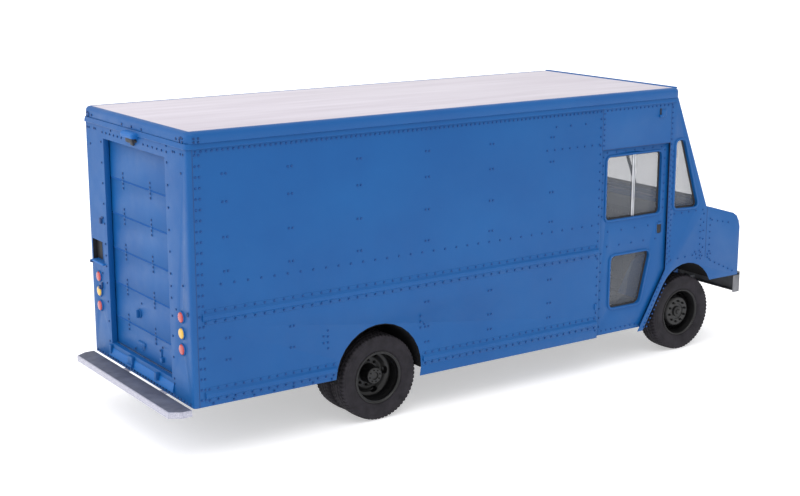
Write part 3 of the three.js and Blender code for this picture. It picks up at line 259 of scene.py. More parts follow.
# Wheel enamel: the deepest black here, with a clearer shine on its edges.
WHEEL_BLACK = grained("black_wheel_enamel", "070708", "0e0e10", 0.4, 120.0, 0.3)
# Moulded ABS of the dashboard, covers and grille: dark grey with a leathery grain.
PLASTIC = grained("grained_abs", "2b2c31", "35363c", 0.62, 500.0, 0.4)
# Sand-cast iron of axles and drums: rough, grey and rusty in patches.
IRON = grained("cast_iron", "3e3f42", "55524e", 0.7, 180.0, 1.2, Metallic=0.5)
# Cast aluminium: pale and metallic, dulled by weather.
CAST_ALLOY = grained("cast_aluminium", "6d6f73", "85868a", 0.55, 200.0, 0.8, Metallic=0.8)
# Painted steel floor sheet, scuffed by boots and boxes; its grey is drawn darker as painted shade for the
# step well.
FLOOR_SHEET_PAINTED_SHADE = grained("floor_sheet_painted_shade", "44454a", "505258", 0.6, 60.0, 0.4, Metallic=0.2)
# White-painted bulkhead: flat, even and pale.
LINER = grained("white_liner", "c9cacc", "d9dadc", 0.5, 80.0, 0.4)
# Seat vinyl: charcoal, with a fine leather grain and a soft sheen.
VINYL = grained("grained_vinyl", "26272b", "303137", 0.55, 700.0, 0.5)
# Satin aluminium strip: bright where it is turned to the light.
SATIN_ALUMINIUM = grained("satin_aluminium", "a9abb0", "c3c5c9", 0.3, 300.0, 0.1, Metallic=1.0)
# Rubber undercoat in the arches: so dark and rough that it hardly shines at all.
UNDERCOAT = grained("rubber_undercoat", "08080a", "101013", 0.9, 140.0, 1.0, IOR=1.3)
# Painted-over joint sealant: a darker, duller line of the body's blue.
SEALANT = grained("polyurethane_sealant", "0a3468", "0c3c74", 0.6, 200.0, 0.2)
# Grit tape on the step: sharp grains that sparkle a little.
GRIP_SHEET = grained("grit_step_tape", "4c4f5f", "646878", 0.75, 260.0, 1.5)
# Chrome plate is too even and glossy to want a pattern: it shows only what is round it.
CHROME = material("chrome_plate", "d9dcde", 0.08, Metallic=1.0)[0]

# %% [markdown]
# Window glass has a slight grey tint. It is thin, so it is drawn as a sheet that mostly lets
# light through and keeps the mirror-like shine of its face. A lens is moulded acrylic: deep
# colour, a wet shine, and a little light of its own in place of the reflector behind it.

# %% Glass and lenses
GLASS = material("grey_glass", "7d8188", 0.02, IOR=1.5, Alpha=0.28)[0]


def lens(name, colour, glow):
    """A moulded acrylic lens; glow is how much of its colour it gives back from its reflector."""
    made, _, shader = material(name, colour, 0.12, IOR=1.49, Coat_Weight=0.6, Coat_Roughness=0.05)
    shader.inputs["Emission Color"].default_value = linear(colour)
    shader.inputs["Emission Strength"].default_value = glow
    return made


RED_LENS = lens("red_acrylic", "ad2628", 0.02)
AMBER_LENS = lens("amber_acrylic", "cfa42c", 0.04)
CLEAR_LENS = lens("clear_acrylic", "e6eaee", 0.05)
print("materials:", len(bpy.data.materials))

# %% [markdown]
# A carried-over part keeps its shape. Welding its loose triangles and rounding its sharp
# edges by a couple of millimetres gives sheet metal its bright folded edges.

# %% Finishing the carried-over parts
WELD_DISTANCE = 0.00005
EDGE_ROUNDING = 0.002
SHARPEST_SMOOTH_EDGE = math.radians(32)


def finish_part(name, made):
    """Gives a carried-over part its finish, and the two modifiers that soften its edges."""
    part = nodes[name]
    part.data.materials.clear()
    part.data.materials.append(made)
    part.data.polygons.foreach_set("material_index", np.zeros(len(part.data.polygons), np.int32))
    part.data.polygons.foreach_set("use_smooth", np.ones(len(part.data.polygons), bool))
    weld = part.modifiers.new("weld", "WELD")
    weld.merge_threshold = WELD_DISTANCE
    edge = part.modifiers.new("rounded_edges", "BEVEL")
    edge.width = EDGE_ROUNDING
    edge.segments = 2
    edge.limit_method = "ANGLE"
    edge.angle_limit = SHARPEST_SMOOTH_EDGE
    edge.use_clamp_overlap = False
    edge.harden_normals = True


FINISHES = [
    (BLUE, ["side_panel_left", "side_panel_right", "rear_frame", "cab_shell", "hood", "door_left",
            "door_right", "rear_door", "rear_door_handle", "roof_rail"]),
    (WHITE, ["roof_panel"]),
    (LINER, ["bulkhead"]),
    (SILVER, ["rear_bumper"]),
    (CAST_ALLOY, ["front_bumper", "engine", "radiator"]),
    (BLACK_STEEL, ["chassis_frame", "front_spring_left", "front_spring_right", "rear_spring_left",
                   "rear_spring_right", "drive_shaft", "fuel_tank", "accelerator_pedal", "brake_pedal",
                   "seat_pedestal", "wiper_left", "wiper_right"]),
    (IRON, ["front_axle", "rear_axle", "knuckle_left", "knuckle_right", "tie_rod", "exhaust"]),
    (FLOOR_SHEET_PAINTED_SHADE, ["floor"]),
    (PLASTIC, ["grille", "engine_cover", "dashboard", "steering_column", "steering_wheel"]),
    (VINYL, ["seat"]),
    (RED_LENS, ["tail_lamps_left", "tail_lamps_right"]),
    (CLEAR_LENS, ["headlamp_left", "headlamp_right"]),
    (GLASS, ["windscreen", "quarter_window_left", "quarter_window_right", "door_glass_left",
             "door_glass_right"]),
    (WHEEL_BLACK, ["wheel_front_left", "wheel_front_right", "wheel_rear_left", "wheel_rear_right"]),
    (RUBBER, [name for name in nodes if name.startswith("tyre_")]),
]
for made, names in FINISHES:
    for name in names:
        finish_part(name, made)
print("finished parts:", sum(len(names) for _, names in FINISHES))

# %% [markdown]
# ## Surfaces from numbers
# Every new piece is a sheet of points worked out as one array, with rows along the piece and
# columns round it, and faces that join each point to its neighbours. Three kinds are enough:
# an outline raised in levels, a section carried along a path, and a profile turned about an
# axis. Rivet heads are a fourth, because there are thousands of them.

# %% Joining the points of a grid
def net(points, round_rows=False, round_columns=False):
    """Faces over a grid of points (rows, columns, 3); a round direction joins its last line to its
    first."""
    rows, columns = points.shape[:2]
    index = np.arange(rows * columns).reshape(rows, columns)
    if round_rows:
        index = np.vstack([index, index[:1]])
    if round_columns:
        index = np.hstack([index, index[:, :1]])
    faces = np.stack([index[:-1, :-1], index[:-1, 1:], index[1:, 1:], index[1:, :-1]], -1)
    return points.reshape(-1, 3), faces.reshape(-1, 4)


def capped(points):
    """The grid with a row gathered at the middle of its first row, and another at that of its last."""
    ends = [np.repeat(row.mean(0)[None, None], points.shape[1], 1) for row in (points[0], points[-1])]
    return np.concatenate([ends[0], points, ends[1]])


MERGE_DISTANCE = 0.00002


def piece(name, shapes, made, body, replaces=(), sharp_degrees=38):
    """One object from a list of (points, faces): doubles are merged and every shell is turned outwards."""
    counts = np.cumsum([0] + [len(points) for points, _ in shapes])
    points = np.concatenate([points for points, _ in shapes])
    faces = np.concatenate([faces + start for (_, faces), start in zip(shapes, counts)])
    mesh = bpy.data.meshes.new(name)
    mesh.from_pydata(points.tolist(), [], faces.tolist())
    work = bmesh.new()
    work.from_mesh(mesh)
    bmesh.ops.remove_doubles(work, verts=work.verts, dist=MERGE_DISTANCE)
    bmesh.ops.recalc_face_normals(work, faces=work.faces)
    work.to_mesh(mesh)
    work.free()
    mesh.polygons.foreach_set("use_smooth", np.ones(len(mesh.polygons), bool))
    mesh.set_sharp_from_angle(angle=math.radians(sharp_degrees))
    mesh.materials.append(made)
    made_piece = bpy.data.objects.new(name, mesh)
    scene.collection.objects.link(made_piece)
    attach(made_piece, body)
    if replaces:
        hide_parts(*replaces)
    print(name, "rides on", body, "with", len(mesh.polygons), "faces")
    return made_piece


# %% The four kinds of surface
def sideways(path, up, closed):
    """The way out of a flat path at each point: square to its edges, and lengthened at a corner
    by 1 / (1 + cosine of the turn) so that parallel edges stay parallel."""
    ahead = np.roll(path, -1, 0) - path
    if not closed:
        ahead[-1] = ahead[-2]
    ahead /= np.linalg.norm(ahead, axis=1, keepdims=True)
    behind = np.roll(ahead, 1, 0)
    if not closed:
        behind[0] = ahead[0]
    out, out_behind = np.cross(ahead, up), np.cross(behind, up)
    out = (out + out_behind) / (1 + (out * out_behind).sum(1, keepdims=True))
    outward = np.sign((out * (path - path.mean(0))).sum()) if closed else 1.0
    return out * outward


def swept(path, section, up, closed=True):
    """A closed section of (out, up) pairs carried along a flat path: path + out * sideways + up * up."""
    path, section, up = (np.asarray(a, float) for a in (path, section, up))
    out = sideways(path, up, closed)
    points = path[:, None] + out[:, None] * section[None, :, :1] + up * section[None, :, 1:]
    return net(points if closed else capped(points), round_rows=closed, round_columns=True)


def raised(outline, up, levels):
    """An outline lifted in levels of (inset, height): each row is outline - inset * sideways + height *
    up."""
    outline, up, levels = (np.asarray(a, float) for a in (outline, up, levels))
    out = sideways(outline, up, True)
    points = outline[None] - out[None] * levels[:, :1, None] + up * levels[:, 1:, None]
    return net(capped(points), round_columns=True)


def turned(profile, centre, axis, steps=48, closed=False, turn=None):
    """A profile of (radius, height) turned about an axis: centre + height * axis + radius * (cos, sin)."""
    profile, centre, axis = (np.asarray(a, float) for a in (profile, centre, axis))
    across = np.cross(axis, (0.0, 0.0, 1.0) if abs(axis[2]) < 0.9 else (0.0, 1.0, 0.0))
    across /= np.linalg.norm(across)
    angle = np.linspace(0, 2 * np.pi, steps, endpoint=False)
    spoke = np.cos(angle)[:, None] * across + np.sin(angle)[:, None] * np.cross(axis, across)
    radius = profile[None, :, :1] + (0 if turn is None else turn[..., None])
    return net(centre + axis * profile[None, :, 1:] + spoke[:, None] * radius, round_rows=True,
        round_columns=closed)


def domes(centres, out, radius, height, sides=6):
    """Rivet heads: a ring sunk in the sheet, one on it, one at 0.7 of the radius and 0.75 of the height,
    and a top."""
    centres = np.asarray(centres, float).reshape(-1, 3)
    out = np.broadcast_to(np.asarray(out, float), centres.shape)
    across = np.cross(out, np.where(np.abs(out[:, 2:]) < 0.9, (0.0, 0.0, 1.0), (0.0, 1.0, 0.0)))
    across /= np.linalg.norm(across, axis=1, keepdims=True)
    beside = np.cross(out, across)
    angle = np.linspace(0, 2 * np.pi, sides, endpoint=False)
    rings = np.array([(0, -0.002), (radius, -0.002), (radius, 0.001), (0.7 * radius, 0.75 * height),
        (0, height)])
    points = (centres[:, None, None] + out[:, None, None] * rings[None, :, None, 1:]
              + across[:, None, None] * (rings[None, :, None, :1] * np.cos(angle)[None, None, :, None])
              + beside[:, None, None] * (rings[None, :, None, :1] * np.sin(angle)[None, None, :, None]))
    vertices, faces = net(points[0], round_columns=True)
    starts = np.arange(len(centres))[:, None, None] * len(vertices)
    return points.reshape(-1, 3), (faces[None] + starts).reshape(-1, 4)


# %% [markdown]
# Outlines are flat, so a small helper rounds a polygon's corners, and three more stand the
# outline up on the truck: on its side, on its tail or on its nose.

# %% Outlines and where they stand
SIDES = {"left": 1.0, "right": -1.0}
ACROSS = np.array([0.0, 1.0, 0.0])


def corners_of(name):
    """A CAD node's lowest and highest corners, as two arrays."""
    low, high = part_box(name)
    return np.array(low), np.array(high)


def middle_of(name):
    """The middle of a CAD node's box: half of lowest + highest."""
    return sum(corners_of(name)) / 2


portal_low, portal_high = corners_of("rear_frame")
door_low, door_high = corners_of("door_left")
HALF = portal_high[1]
TAIL = portal_low[0]
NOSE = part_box("cab_shell")[1][0]
DOOR_LAP = 0.012  # how far the door runs behind the edge of its opening
SEAM = door_low[0] + DOOR_LAP  # the door opening's rear edge
PILLAR = door_high[0] - DOOR_LAP  # and its front edge
DOOR_FACE = door_high[1]
DOOR_TOP = door_high[2] + 0.004
NOSE_LENGTH = 0.56
COWL = NOSE - NOSE_LENGTH
WAIST = 1.705
SKIRT_TAIL = portal_low[2]
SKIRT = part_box("side_panel_left")[0][2]
RAIL_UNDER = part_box("roof_rail")[0][2]


def rounded(corners, radius, steps=5):
    """A polygon with each corner replaced by a curve: (1-t)^2 A + 2t(1-t) corner + t^2 B, from A on one
    edge to B on the next."""
    corners = np.asarray(corners, float)
    to_before, to_after = np.roll(corners, 1, 0) - corners, np.roll(corners, -1, 0) - corners
    long_before = np.linalg.norm(to_before, axis=1, keepdims=True)
    long_after = np.linalg.norm(to_after, axis=1, keepdims=True)
    cosine = (to_before * to_after).sum(1, keepdims=True) / (long_before * long_after)
    reach = radius * np.sqrt((1 + cosine) / (1 - cosine + 1e-9))
    reach = np.minimum(reach, 0.48 * np.minimum(long_before, long_after))
    t = np.linspace(0, 1, steps + 1)[None, :, None]
    first, last = corners + to_before / long_before * reach, corners + to_after / long_after * reach
    curve = (1 - t) ** 2 * first[:, None] + 2 * t * (1 - t) * corners[:, None] + t ** 2 * last[:, None]
    return curve.reshape(-1, 2)


def oblong(middle_1, middle_2, wide, tall, radius, steps=4):
    """A rounded rectangle round a middle point."""
    signs = np.array([(-1, -1), (1, -1), (1, 1), (-1, 1)])
    return rounded(signs * (wide / 2, tall / 2) + (middle_1, middle_2), radius, steps)


def on_side(side, flat, out=0.0, face=None):
    """(x, z) pairs stood on a side skin, or on another face at that distance from the middle."""
    flat = np.asarray(flat, float)
    return np.stack([flat[:, 0], np.full(len(flat), side * ((HALF if face is None else face) + out)),
        flat[:, 1]], 1)


def on_tail(flat, out=0.0, face=None):
    """(y, z) pairs stood on the tail, or on another face at that x; out is backwards."""
    flat = np.asarray(flat, float)
    return np.stack([np.full(len(flat), (TAIL if face is None else face) - out), flat[:, 0], flat[:, 1]], 1)


def on_nose(flat, out=0.0):
    """(y, z) pairs stood on the nose; out is forwards."""
    flat = np.asarray(flat, float)
    return np.stack([np.full(len(flat), NOSE + out), flat[:, 0], flat[:, 1]], 1)


def circle(radius, steps, middle=(0.0, 0.0)):
    """Points round a circle: middle + radius * (cos, sin)."""
    angle = np.linspace(0, 2 * np.pi, steps + 1)[:-1]
    return np.stack([middle[0] + radius * np.cos(angle), middle[1] + radius * np.sin(angle)], 1)


def plate(outline, up, thick, edge=0.003):
    """A small plate with softened edges: up square, in by 0.4 of the edge, then in by all of it at the
    top."""
    return raised(outline, up, [(0, -0.001), (0, thick - edge), (edge * 0.4, thick - edge * 0.3),
        (edge, thick)])


def row(start, stop, pitch):
    """Points from start to stop, spaced as near to the pitch as fits evenly."""
    start, stop = np.asarray(start, float), np.asarray(stop, float)
    count = max(2, int(round(np.linalg.norm(stop - start) / pitch)) + 1)
    return start + (stop - start) * np.linspace(0, 1, count)[:, None]


BACKWARD = np.array([-1.0, 0.0, 0.0])
FORWARD = np.array([1.0, 0.0, 0.0])
UPWARD = np.array([0.0, 0.0, 1.0])
print("body half width", HALF, "tail", TAIL, "nose", NOSE, "door", SEAM, PILLAR)
# %% [markdown]
# ## Tyres and wheels
# A truck tyre is a closed ring of rubber. Its section runs up the side wall from the bead,
# past two fine ridges, round a square shoulder and across the tread. Circumferential grooves
# are 12 mm deep, and the shoulders are cut into blocks about 45 mm long, so the tyre is one
# profile turned about the axle whose radius dips wherever a groove or a cut runs.

# %% Tyres
tyre_low, tyre_high = corners_of("tyre_rear_right_outer")
TYRE_RADIUS = (tyre_high[2] - tyre_low[2]) / 2
RIM_SEAT = 0.262
TYRE_STEPS = 378  # six to each of 63 tread blocks
TREAD_HALF = 0.1025
TREAD_CROWN = 0.5  # metres of fall per square metre across
GROOVE_DEPTH, SHOULDER_CUT, SIPE_DEPTH = 0.012, 0.009, 0.006


def tyre_shape(centre):
    """Side wall points mirrored about the tread, and tread points every 5 mm; the radius loses
    12 mm in four grooves, and 9 mm in every second third of the shoulder's 63 blocks."""
    wall = np.array([
        (RIM_SEAT, 0.099), (0.276, 0.1005), (0.283, 0.106), (0.288, 0.1115), (0.296, 0.112), (0.3, 0.1155),
        (0.32, 0.1205),
        (0.345, 0.1242), (0.368, 0.125), (0.386, 0.1243), (0.389, 0.1225), (0.393, 0.1235),
        (0.408, 0.1212), (0.411, 0.119),
        (0.416, 0.1195), (0.43, 0.1165), (0.436, 0.1135), (0.4392, 0.1095),
    ])
    across = np.linspace(TREAD_HALF, -TREAD_HALF, 42)
    crown = TYRE_RADIUS - TREAD_CROWN * across ** 2
    grooves = (np.abs(np.abs(across)[:, None] - (0.026, 0.07)) < 0.0055).any(1)
    tread = np.stack([crown - GROOVE_DEPTH * grooves, across], 1)
    profile = np.concatenate([wall, tread, wall[::-1] * (1, -1)])
    block = (np.arange(TYRE_STEPS) % 6 < 2)[:, None]
    shoulder = ((np.abs(profile[:, 1]) > 0.076) & (profile[:, 0] > 0.428))[None]
    middle = ((np.abs(profile[:, 1]) < 0.064) & (np.abs(profile[:, 1]) > 0.032))[None]
    cut_away = -SHOULDER_CUT * (block & shoulder) - SIPE_DEPTH * ((np.arange(TYRE_STEPS) % 6 == 4)[:,
        None] & middle)
    return turned(profile, centre, ACROSS, TYRE_STEPS, closed=True, turn=cut_away)


for hand in SIDES:
    for node_name, body in ((f"tyre_front_{hand}", f"front_{hand}_wheel"),
                            (f"tyre_rear_{hand}_outer", f"rear_{hand}_wheels"),
                            (f"tyre_rear_{hand}_inner", f"rear_{hand}_wheels")):
        piece(f"ribbed_{node_name}", [tyre_shape(middle_of(node_name))], RUBBER, body, [node_name], 50)
print("tyre radius", round(TYRE_RADIUS, 4), "points in one tyre", len(tyre_shape(np.zeros(3))[0]))

# %% [markdown]
# The wheels are pressed steel discs welded into rims. A front disc bulges out to its ring of
# ten nuts. A rear disc sits deep between the two tyres, and the axle's hub stands out of it.
# Hand holes through the disc are drawn as deep round-ended pockets, since only black shows
# behind them.

# %% Wheels
def pocketed(profile, centre, side, ring_radius, size, depth, count, steps=180):
    """A turned disc pushed in by depth where it lies within so many ovals round its ring of holes."""
    profile = np.asarray(profile, float)
    angle = np.linspace(0, 2 * np.pi, steps, endpoint=False)[:, None]
    pitch = 2 * np.pi / count
    offset = (angle + pitch / 2) % pitch - pitch / 2
    radius = profile[None, :, 0]
    away = np.sqrt((offset * ring_radius / size[0]) ** 2 + ((radius - ring_radius) / size[1]) ** 2)
    dent = depth * np.clip((1.1 - away) / 0.2, 0, 1)
    points = np.stack([centre[0] + radius * np.cos(angle), centre[1] + side * (profile[None, :, 1] - dent),
                       centre[2] + radius * np.sin(angle)], -1)
    return net(points, round_rows=True)


def nuts(centre, side, ring_radius, count, radius, height, out):
    """Six-sided nuts on a ring: each is a dome of six sides, taller than a rivet's."""
    angle = np.linspace(0, 2 * np.pi, count, endpoint=False) + 0.2
    at = centre + np.stack([ring_radius * np.cos(angle), np.full(count, side * out),
        ring_radius * np.sin(angle)], 1)
    nut = domes(at, (0.0, side, 0.0), radius, height)
    stud = domes(at + (0, side * height * 0.8, 0), (0.0, side, 0.0), radius * 0.45, height * 0.7)
    return [nut, stud]


def rim_shape(centre, side, lip):
    """The outer rim: a rolled lip, the well behind it and the barrel, as a closed section turned about
    the axle."""
    section = [(0.259, lip - 0.012), (0.27, lip - 0.012), (0.2725, lip - 0.004), (0.2665, lip),
               (0.258, lip - 0.003), (0.2495, lip - 0.02), (0.2475, lip - 0.045), (0.241, lip - 0.062),
               (0.2365, lip - 0.09), (0.2365, lip - 0.2), (0.245, lip - 0.2)]
    return turned([(radius, side * out) for radius, out in section], centre, ACROSS, 96, closed=True)


def dense(profile, per_metre=260):
    """A profile with points added along it, so that many to the metre."""
    profile = np.asarray(profile, float)
    length = np.concatenate([[0], np.cumsum(np.linalg.norm(np.diff(profile, axis=0), axis=1))])
    at = np.linspace(0, length[-1], int(length[-1] * per_metre))
    return np.stack([np.interp(at, length, profile[:, 0]), np.interp(at, length, profile[:, 1])], 1)


def brake_drum(place, hand, side, middle, profile):
    """A drum's (radius, out) profile turned about the axle, on the inside of its wheel."""
    drum = turned([(radius, side * out) for radius, out in profile], middle, ACROSS, 64, closed=True)
    body = f"{place}_{hand}_wheel" + ("s" if place == "rear" else "")
    piece(f"brake_drum_{place}_{hand}", [drum], IRON, body)


def front_wheel(hand, side):
    """A bulging disc with ten hand holes, a hub cap, the rim, ten nuts and the drum behind."""
    centre = middle_of(f"tyre_front_{hand}")
    disc = dense([(0.239, -0.1), (0.238, -0.02), (0.225, -0.012), (0.2, 0.012), (0.172, 0.046),
                  (0.165, 0.054), (0.152, 0.058), (0.095, 0.058), (0.088, 0.06), (0.0875, 0.052),
                  (0.0, 0.052)])
    hub = turned([(0.062, side * 0.045), (0.062, side * 0.068), (0.056, side * 0.074),
                  (0.034, side * 0.0745), (0.03, side * 0.088), (0.022, side * 0.093),
                  (0.0, side * 0.094)], centre, ACROSS, 40)
    shapes = [pocketed(disc, centre, side, 0.195, (0.021, 0.015), 0.05, 10), hub,
        rim_shape(centre, side, 0.11)]
    shapes += nuts(centre, side, 0.122, 10, 0.0155, 0.022, 0.058)
    piece(f"pressed_wheel_front_{hand}", shapes, WHEEL_BLACK, f"front_{hand}_wheel",
        [f"wheel_front_{hand}"], 45)
    brake_drum("front", hand, side, centre, [
        (0.05, -0.098), (0.2, -0.098), (0.206, -0.09), (0.206, -0.035), (0.198, -0.028), (0.09, -0.028)])


def rear_wheels(hand, side):
    """A deep disc with five hand holes, both rims, ten nuts, the hub's eight bolts and the drum."""
    outer, inner = middle_of(f"tyre_rear_{hand}_outer"), middle_of(f"tyre_rear_{hand}_inner")
    disc = dense([(0.2375, -0.02), (0.2365, -0.045), (0.226, -0.058), (0.2, -0.07), (0.17, -0.1),
                  (0.158, -0.108), (0.098, -0.108), (0.094, -0.104), (0.092, 0.02), (0.086, 0.036),
                  (0.078, 0.042), (0.04, 0.043), (0.036, 0.03), (0.0, 0.03)])
    shapes = [pocketed(disc, outer, side, 0.192, (0.036, 0.021), 0.05, 5), rim_shape(outer, side, 0.11)]
    shapes += nuts(outer, side, 0.128, 10, 0.016, 0.024, -0.108)
    shapes += nuts(outer, side, 0.061, 8, 0.0095, 0.012, 0.042)
    barrel = [(0.259, -0.098), (0.27, -0.098), (0.2725, -0.106), (0.2665, -0.11), (0.2475, -0.07),
        (0.2365, -0.03), (0.2365, 0.1), (0.259, 0.1)]
    shapes.append(turned([(radius, side * out) for radius, out in barrel], inner, ACROSS, 96, closed=True))
    seat = [(0.2455, -0.098), (0.2585, -0.098), (0.2585, 0.098), (0.2455, 0.098)]
    shapes.append(turned([(radius, side * out) for radius, out in seat], outer, ACROSS, 96, closed=True))
    piece(f"dished_wheels_rear_{hand}", shapes, WHEEL_BLACK, f"rear_{hand}_wheels", [f"wheel_rear_{hand}"],
        45)
    brake_drum("rear", hand, side, inner, [
        (0.08, -0.09), (0.205, -0.09), (0.215, -0.08), (0.215, 0.1), (0.205, 0.108), (0.1, 0.108)])


for hand, side in SIDES.items():
    front_wheel(hand, side)
    rear_wheels(hand, side)
print("wheels made:", 2 * len(SIDES))
# %% [markdown]
# ## Rivets
# The skins are riveted to their frames. Every head here is about 25 mm across and 8 mm high, about
# twice a real dome head, so that the rows still read from across a yard. The rows follow the
# frame behind: the roof rail, the posts, the rub rails, the door pillars and the arches.

# %% Rows on the sides
RIVET_RADIUS = 0.0125
RIVET_HEIGHT = 0.008
REAR_ARCH = (tyre_low[0] / 2 + tyre_high[0] / 2 - 0.02, TYRE_RADIUS + 0.065)  # its middle
FRONT_AXLE_X = middle_of("tyre_front_left")[0]
RUB_RAIL_Z = 1.39
RUB_TAIL_Z = SKIRT_TAIL + 0.112
RUB_SIDE_Z = SKIRT + 0.18
POST_X = (-3.13, -2.44, -1.67, -0.86, -0.05, 0.76)


def pairs(x_places, z_places, apart=0.04):
    """Two rivets side by side at every crossing of the x places and the z places."""
    x, z = np.meshgrid(x_places, z_places)
    flat = np.stack([x.ravel(), z.ravel()], 1)
    return np.concatenate([flat - (apart / 2, 0), flat + (apart / 2, 0)])


panel_rows = np.concatenate([
    row((-3.41, 2.93), (SEAM - 0.03, 2.93), 0.055),
    row((-3.418, 0.6), (-3.418, 2.9), 0.1), row((-3.378, 0.6), (-3.378, 2.9), 0.1),
    pairs(POST_X, (2.71, 2.45, 2.12, 1.8)), pairs(POST_X[:2], (1.16, 0.95)),
    pairs(POST_X[3:], (1.16, 0.9, 0.74)),
    row((-3.19, 1.685), (SEAM - 0.12, 1.685), 0.14),
    row((-3.36, RUB_RAIL_Z + 0.054), (SEAM - 0.05, RUB_RAIL_Z + 0.054), 0.105),
    row((-3.36, RUB_RAIL_Z - 0.056), (SEAM - 0.05, RUB_RAIL_Z - 0.056), 0.105),
    row((-3.34, RUB_TAIL_Z + 0.055), (REAR_ARCH[0] - 0.54, RUB_TAIL_Z + 0.055), 0.088),
    row((-3.34, RUB_TAIL_Z - 0.056), (REAR_ARCH[0] - 0.54, RUB_TAIL_Z - 0.056), 0.088),
    row((REAR_ARCH[0] + 0.56, RUB_SIDE_Z + 0.055), (SEAM - 0.05, RUB_SIDE_Z + 0.055), 0.09),
    row((REAR_ARCH[0] + 0.56, RUB_SIDE_Z - 0.056), (SEAM - 0.05, RUB_SIDE_Z - 0.056), 0.09),
    row((REAR_ARCH[0] - 0.6, 0.87), (REAR_ARCH[0] - 0.6, 1.05), 0.06), [(REAR_ARCH[0] - 0.65, 0.93),
    (REAR_ARCH[0] - 0.65, 1.0)],
    row((REAR_ARCH[0] + 0.5, 0.9), (REAR_ARCH[0] + 0.5, 1.02), 0.06), [(REAR_ARCH[0] + 0.545, 0.93)],
    [(0.81, 2.813), (1.01, 2.813), (1.22, 2.814)], row((0.69, 2.572), (SEAM - 0.045, 2.572), 0.1),
    row((SEAM - 0.028, 0.48), (SEAM - 0.028, 1.3), 0.1), row((SEAM - 0.028, 1.5), (SEAM - 0.028, 2.85),
    0.1),
    row((-3.3, SKIRT_TAIL + 0.02), (REAR_ARCH[0] - 0.56, SKIRT_TAIL + 0.02), 0.2),
])
flange = np.abs(panel_rows[:, 1, None] - (RUB_RAIL_Z, RUB_TAIL_Z, RUB_SIDE_Z)).min(1) < 0.06
flange &= (panel_rows[:, 0] > -3.37) & (panel_rows[:, 0] < SEAM - 0.04)
for hand, side in SIDES.items():
    panel_heads = on_side(side, panel_rows) + np.stack([0 * flange, side * 0.003 * flange, 0 * flange], 1)
    piece(f"panel_rivets_{hand}", [domes(panel_heads, (0, side, 0), RIVET_RADIUS, RIVET_HEIGHT)],
        RIVET_PAINTED_SHADE, "truck")
print("rivets on one side panel:", len(panel_rows))

# %% [markdown]
# The cab has its own pattern: tight columns down both sides of the door pillar, a double row
# along the strip that leans back from the wheel arch, a row under the small window, a column
# on each side of the cowl joint and a knot of bolts where the nose meets the arch.

# %% Rows on the cab and doors
LEAN = 0.59
ARCH_X = FRONT_AXLE_X - 0.038
STRIP_EDGE = ARCH_X - 0.3 - 0.362
strip_low, strip_high = np.array((STRIP_EDGE + 0.04, 0.4)), np.array((STRIP_EDGE + 0.04 + LEAN * 0.46,
    0.86))
cab_rows = np.concatenate([
    row((SEAM + 0.022, DOOR_TOP + 0.05), (SEAM + 0.022, 2.9), 0.06),
    row((SEAM + 0.06, 2.93), (2.5, 2.93), 0.06),
    row((PILLAR + 0.022, 1.1), (PILLAR + 0.022, 2.9), 0.06),
    row((PILLAR + 0.055, 1.12), (PILLAR + 0.055, 2.4), 0.06),
    row(strip_low + (-0.02, 0.0), strip_high + (-0.02, 0.12), 0.055),
    row(strip_low + (0.022, 0.0), strip_high + (0.022, 0.0), 0.055),
    row((2.6, 1.672), (3.06, 1.672), 0.115),
    row((COWL - 0.1, 1.19), (COWL - 0.1, 1.56), 0.075),
    row((COWL - 0.05, 1.22), (COWL - 0.05, 1.62), 0.1),
    row((COWL + 0.06, 1.16), (COWL + 0.06, 1.55), 0.075),
    row((COWL + 0.09, 1.53), (NOSE - 0.2, 1.47), 0.1),
    row((2.57, 1.135), (2.92, 1.145), 0.115),
    row((COWL + 0.09, 1.045), (NOSE - 0.09, 0.87), 0.08),
    [(2.96, 1.181), (2.976, 1.152), (3.036, 1.128), (2.994, 1.097), (3.053, 1.089), (3.078, 1.12),
     (3.168, 1.09), (3.2, 1.069), (3.168, 1.128), (3.215, 1.128), (3.2, 1.16), (3.05, 1.165)],
])
door_rows = np.concatenate([
    row((SEAM + 0.048, 1.76), (SEAM + 0.048, 2.42), 0.095), row((SEAM + 0.1, 2.462), (PILLAR - 0.1, 2.462),
    0.13),
    row((SEAM + 0.14, 1.578), (2.22, 1.578), 0.2), row((SEAM + 0.135, 1.412), (2.34, 1.412), 0.2),
    row((SEAM + 0.05, 0.5), (SEAM + 0.05, 1.34), 0.1),
    row((SEAM + 0.09, 0.447), (2.07, 0.447), 0.077), row((PILLAR - 0.05, 1.76), (PILLAR - 0.05, 2.42),
    0.095),
])
for hand, side in SIDES.items():
    piece(f"cab_rivets_{hand}", [domes(on_side(side, cab_rows), (0, side, 0), 0.011, 0.008)], RIVET_PAINTED_SHADE,
        "truck")
    piece(f"door_rivets_{hand}", [domes(on_side(side, door_rows, face=DOOR_FACE), (0, side, 0), 0.011,
        0.008)], RIVET_PAINTED_SHADE, f"{hand}_cab_door")
print("rivets on one side of the cab:", len(cab_rows), "and on its door:", len(door_rows))

# %% [markdown]
# The tail has bolts round the door opening, a fine row under the roof rail broken by the lamp
# hood, double rows at the top corners and a close row along the bottom edge. The flat nose has
# rows round the grille and lamps.

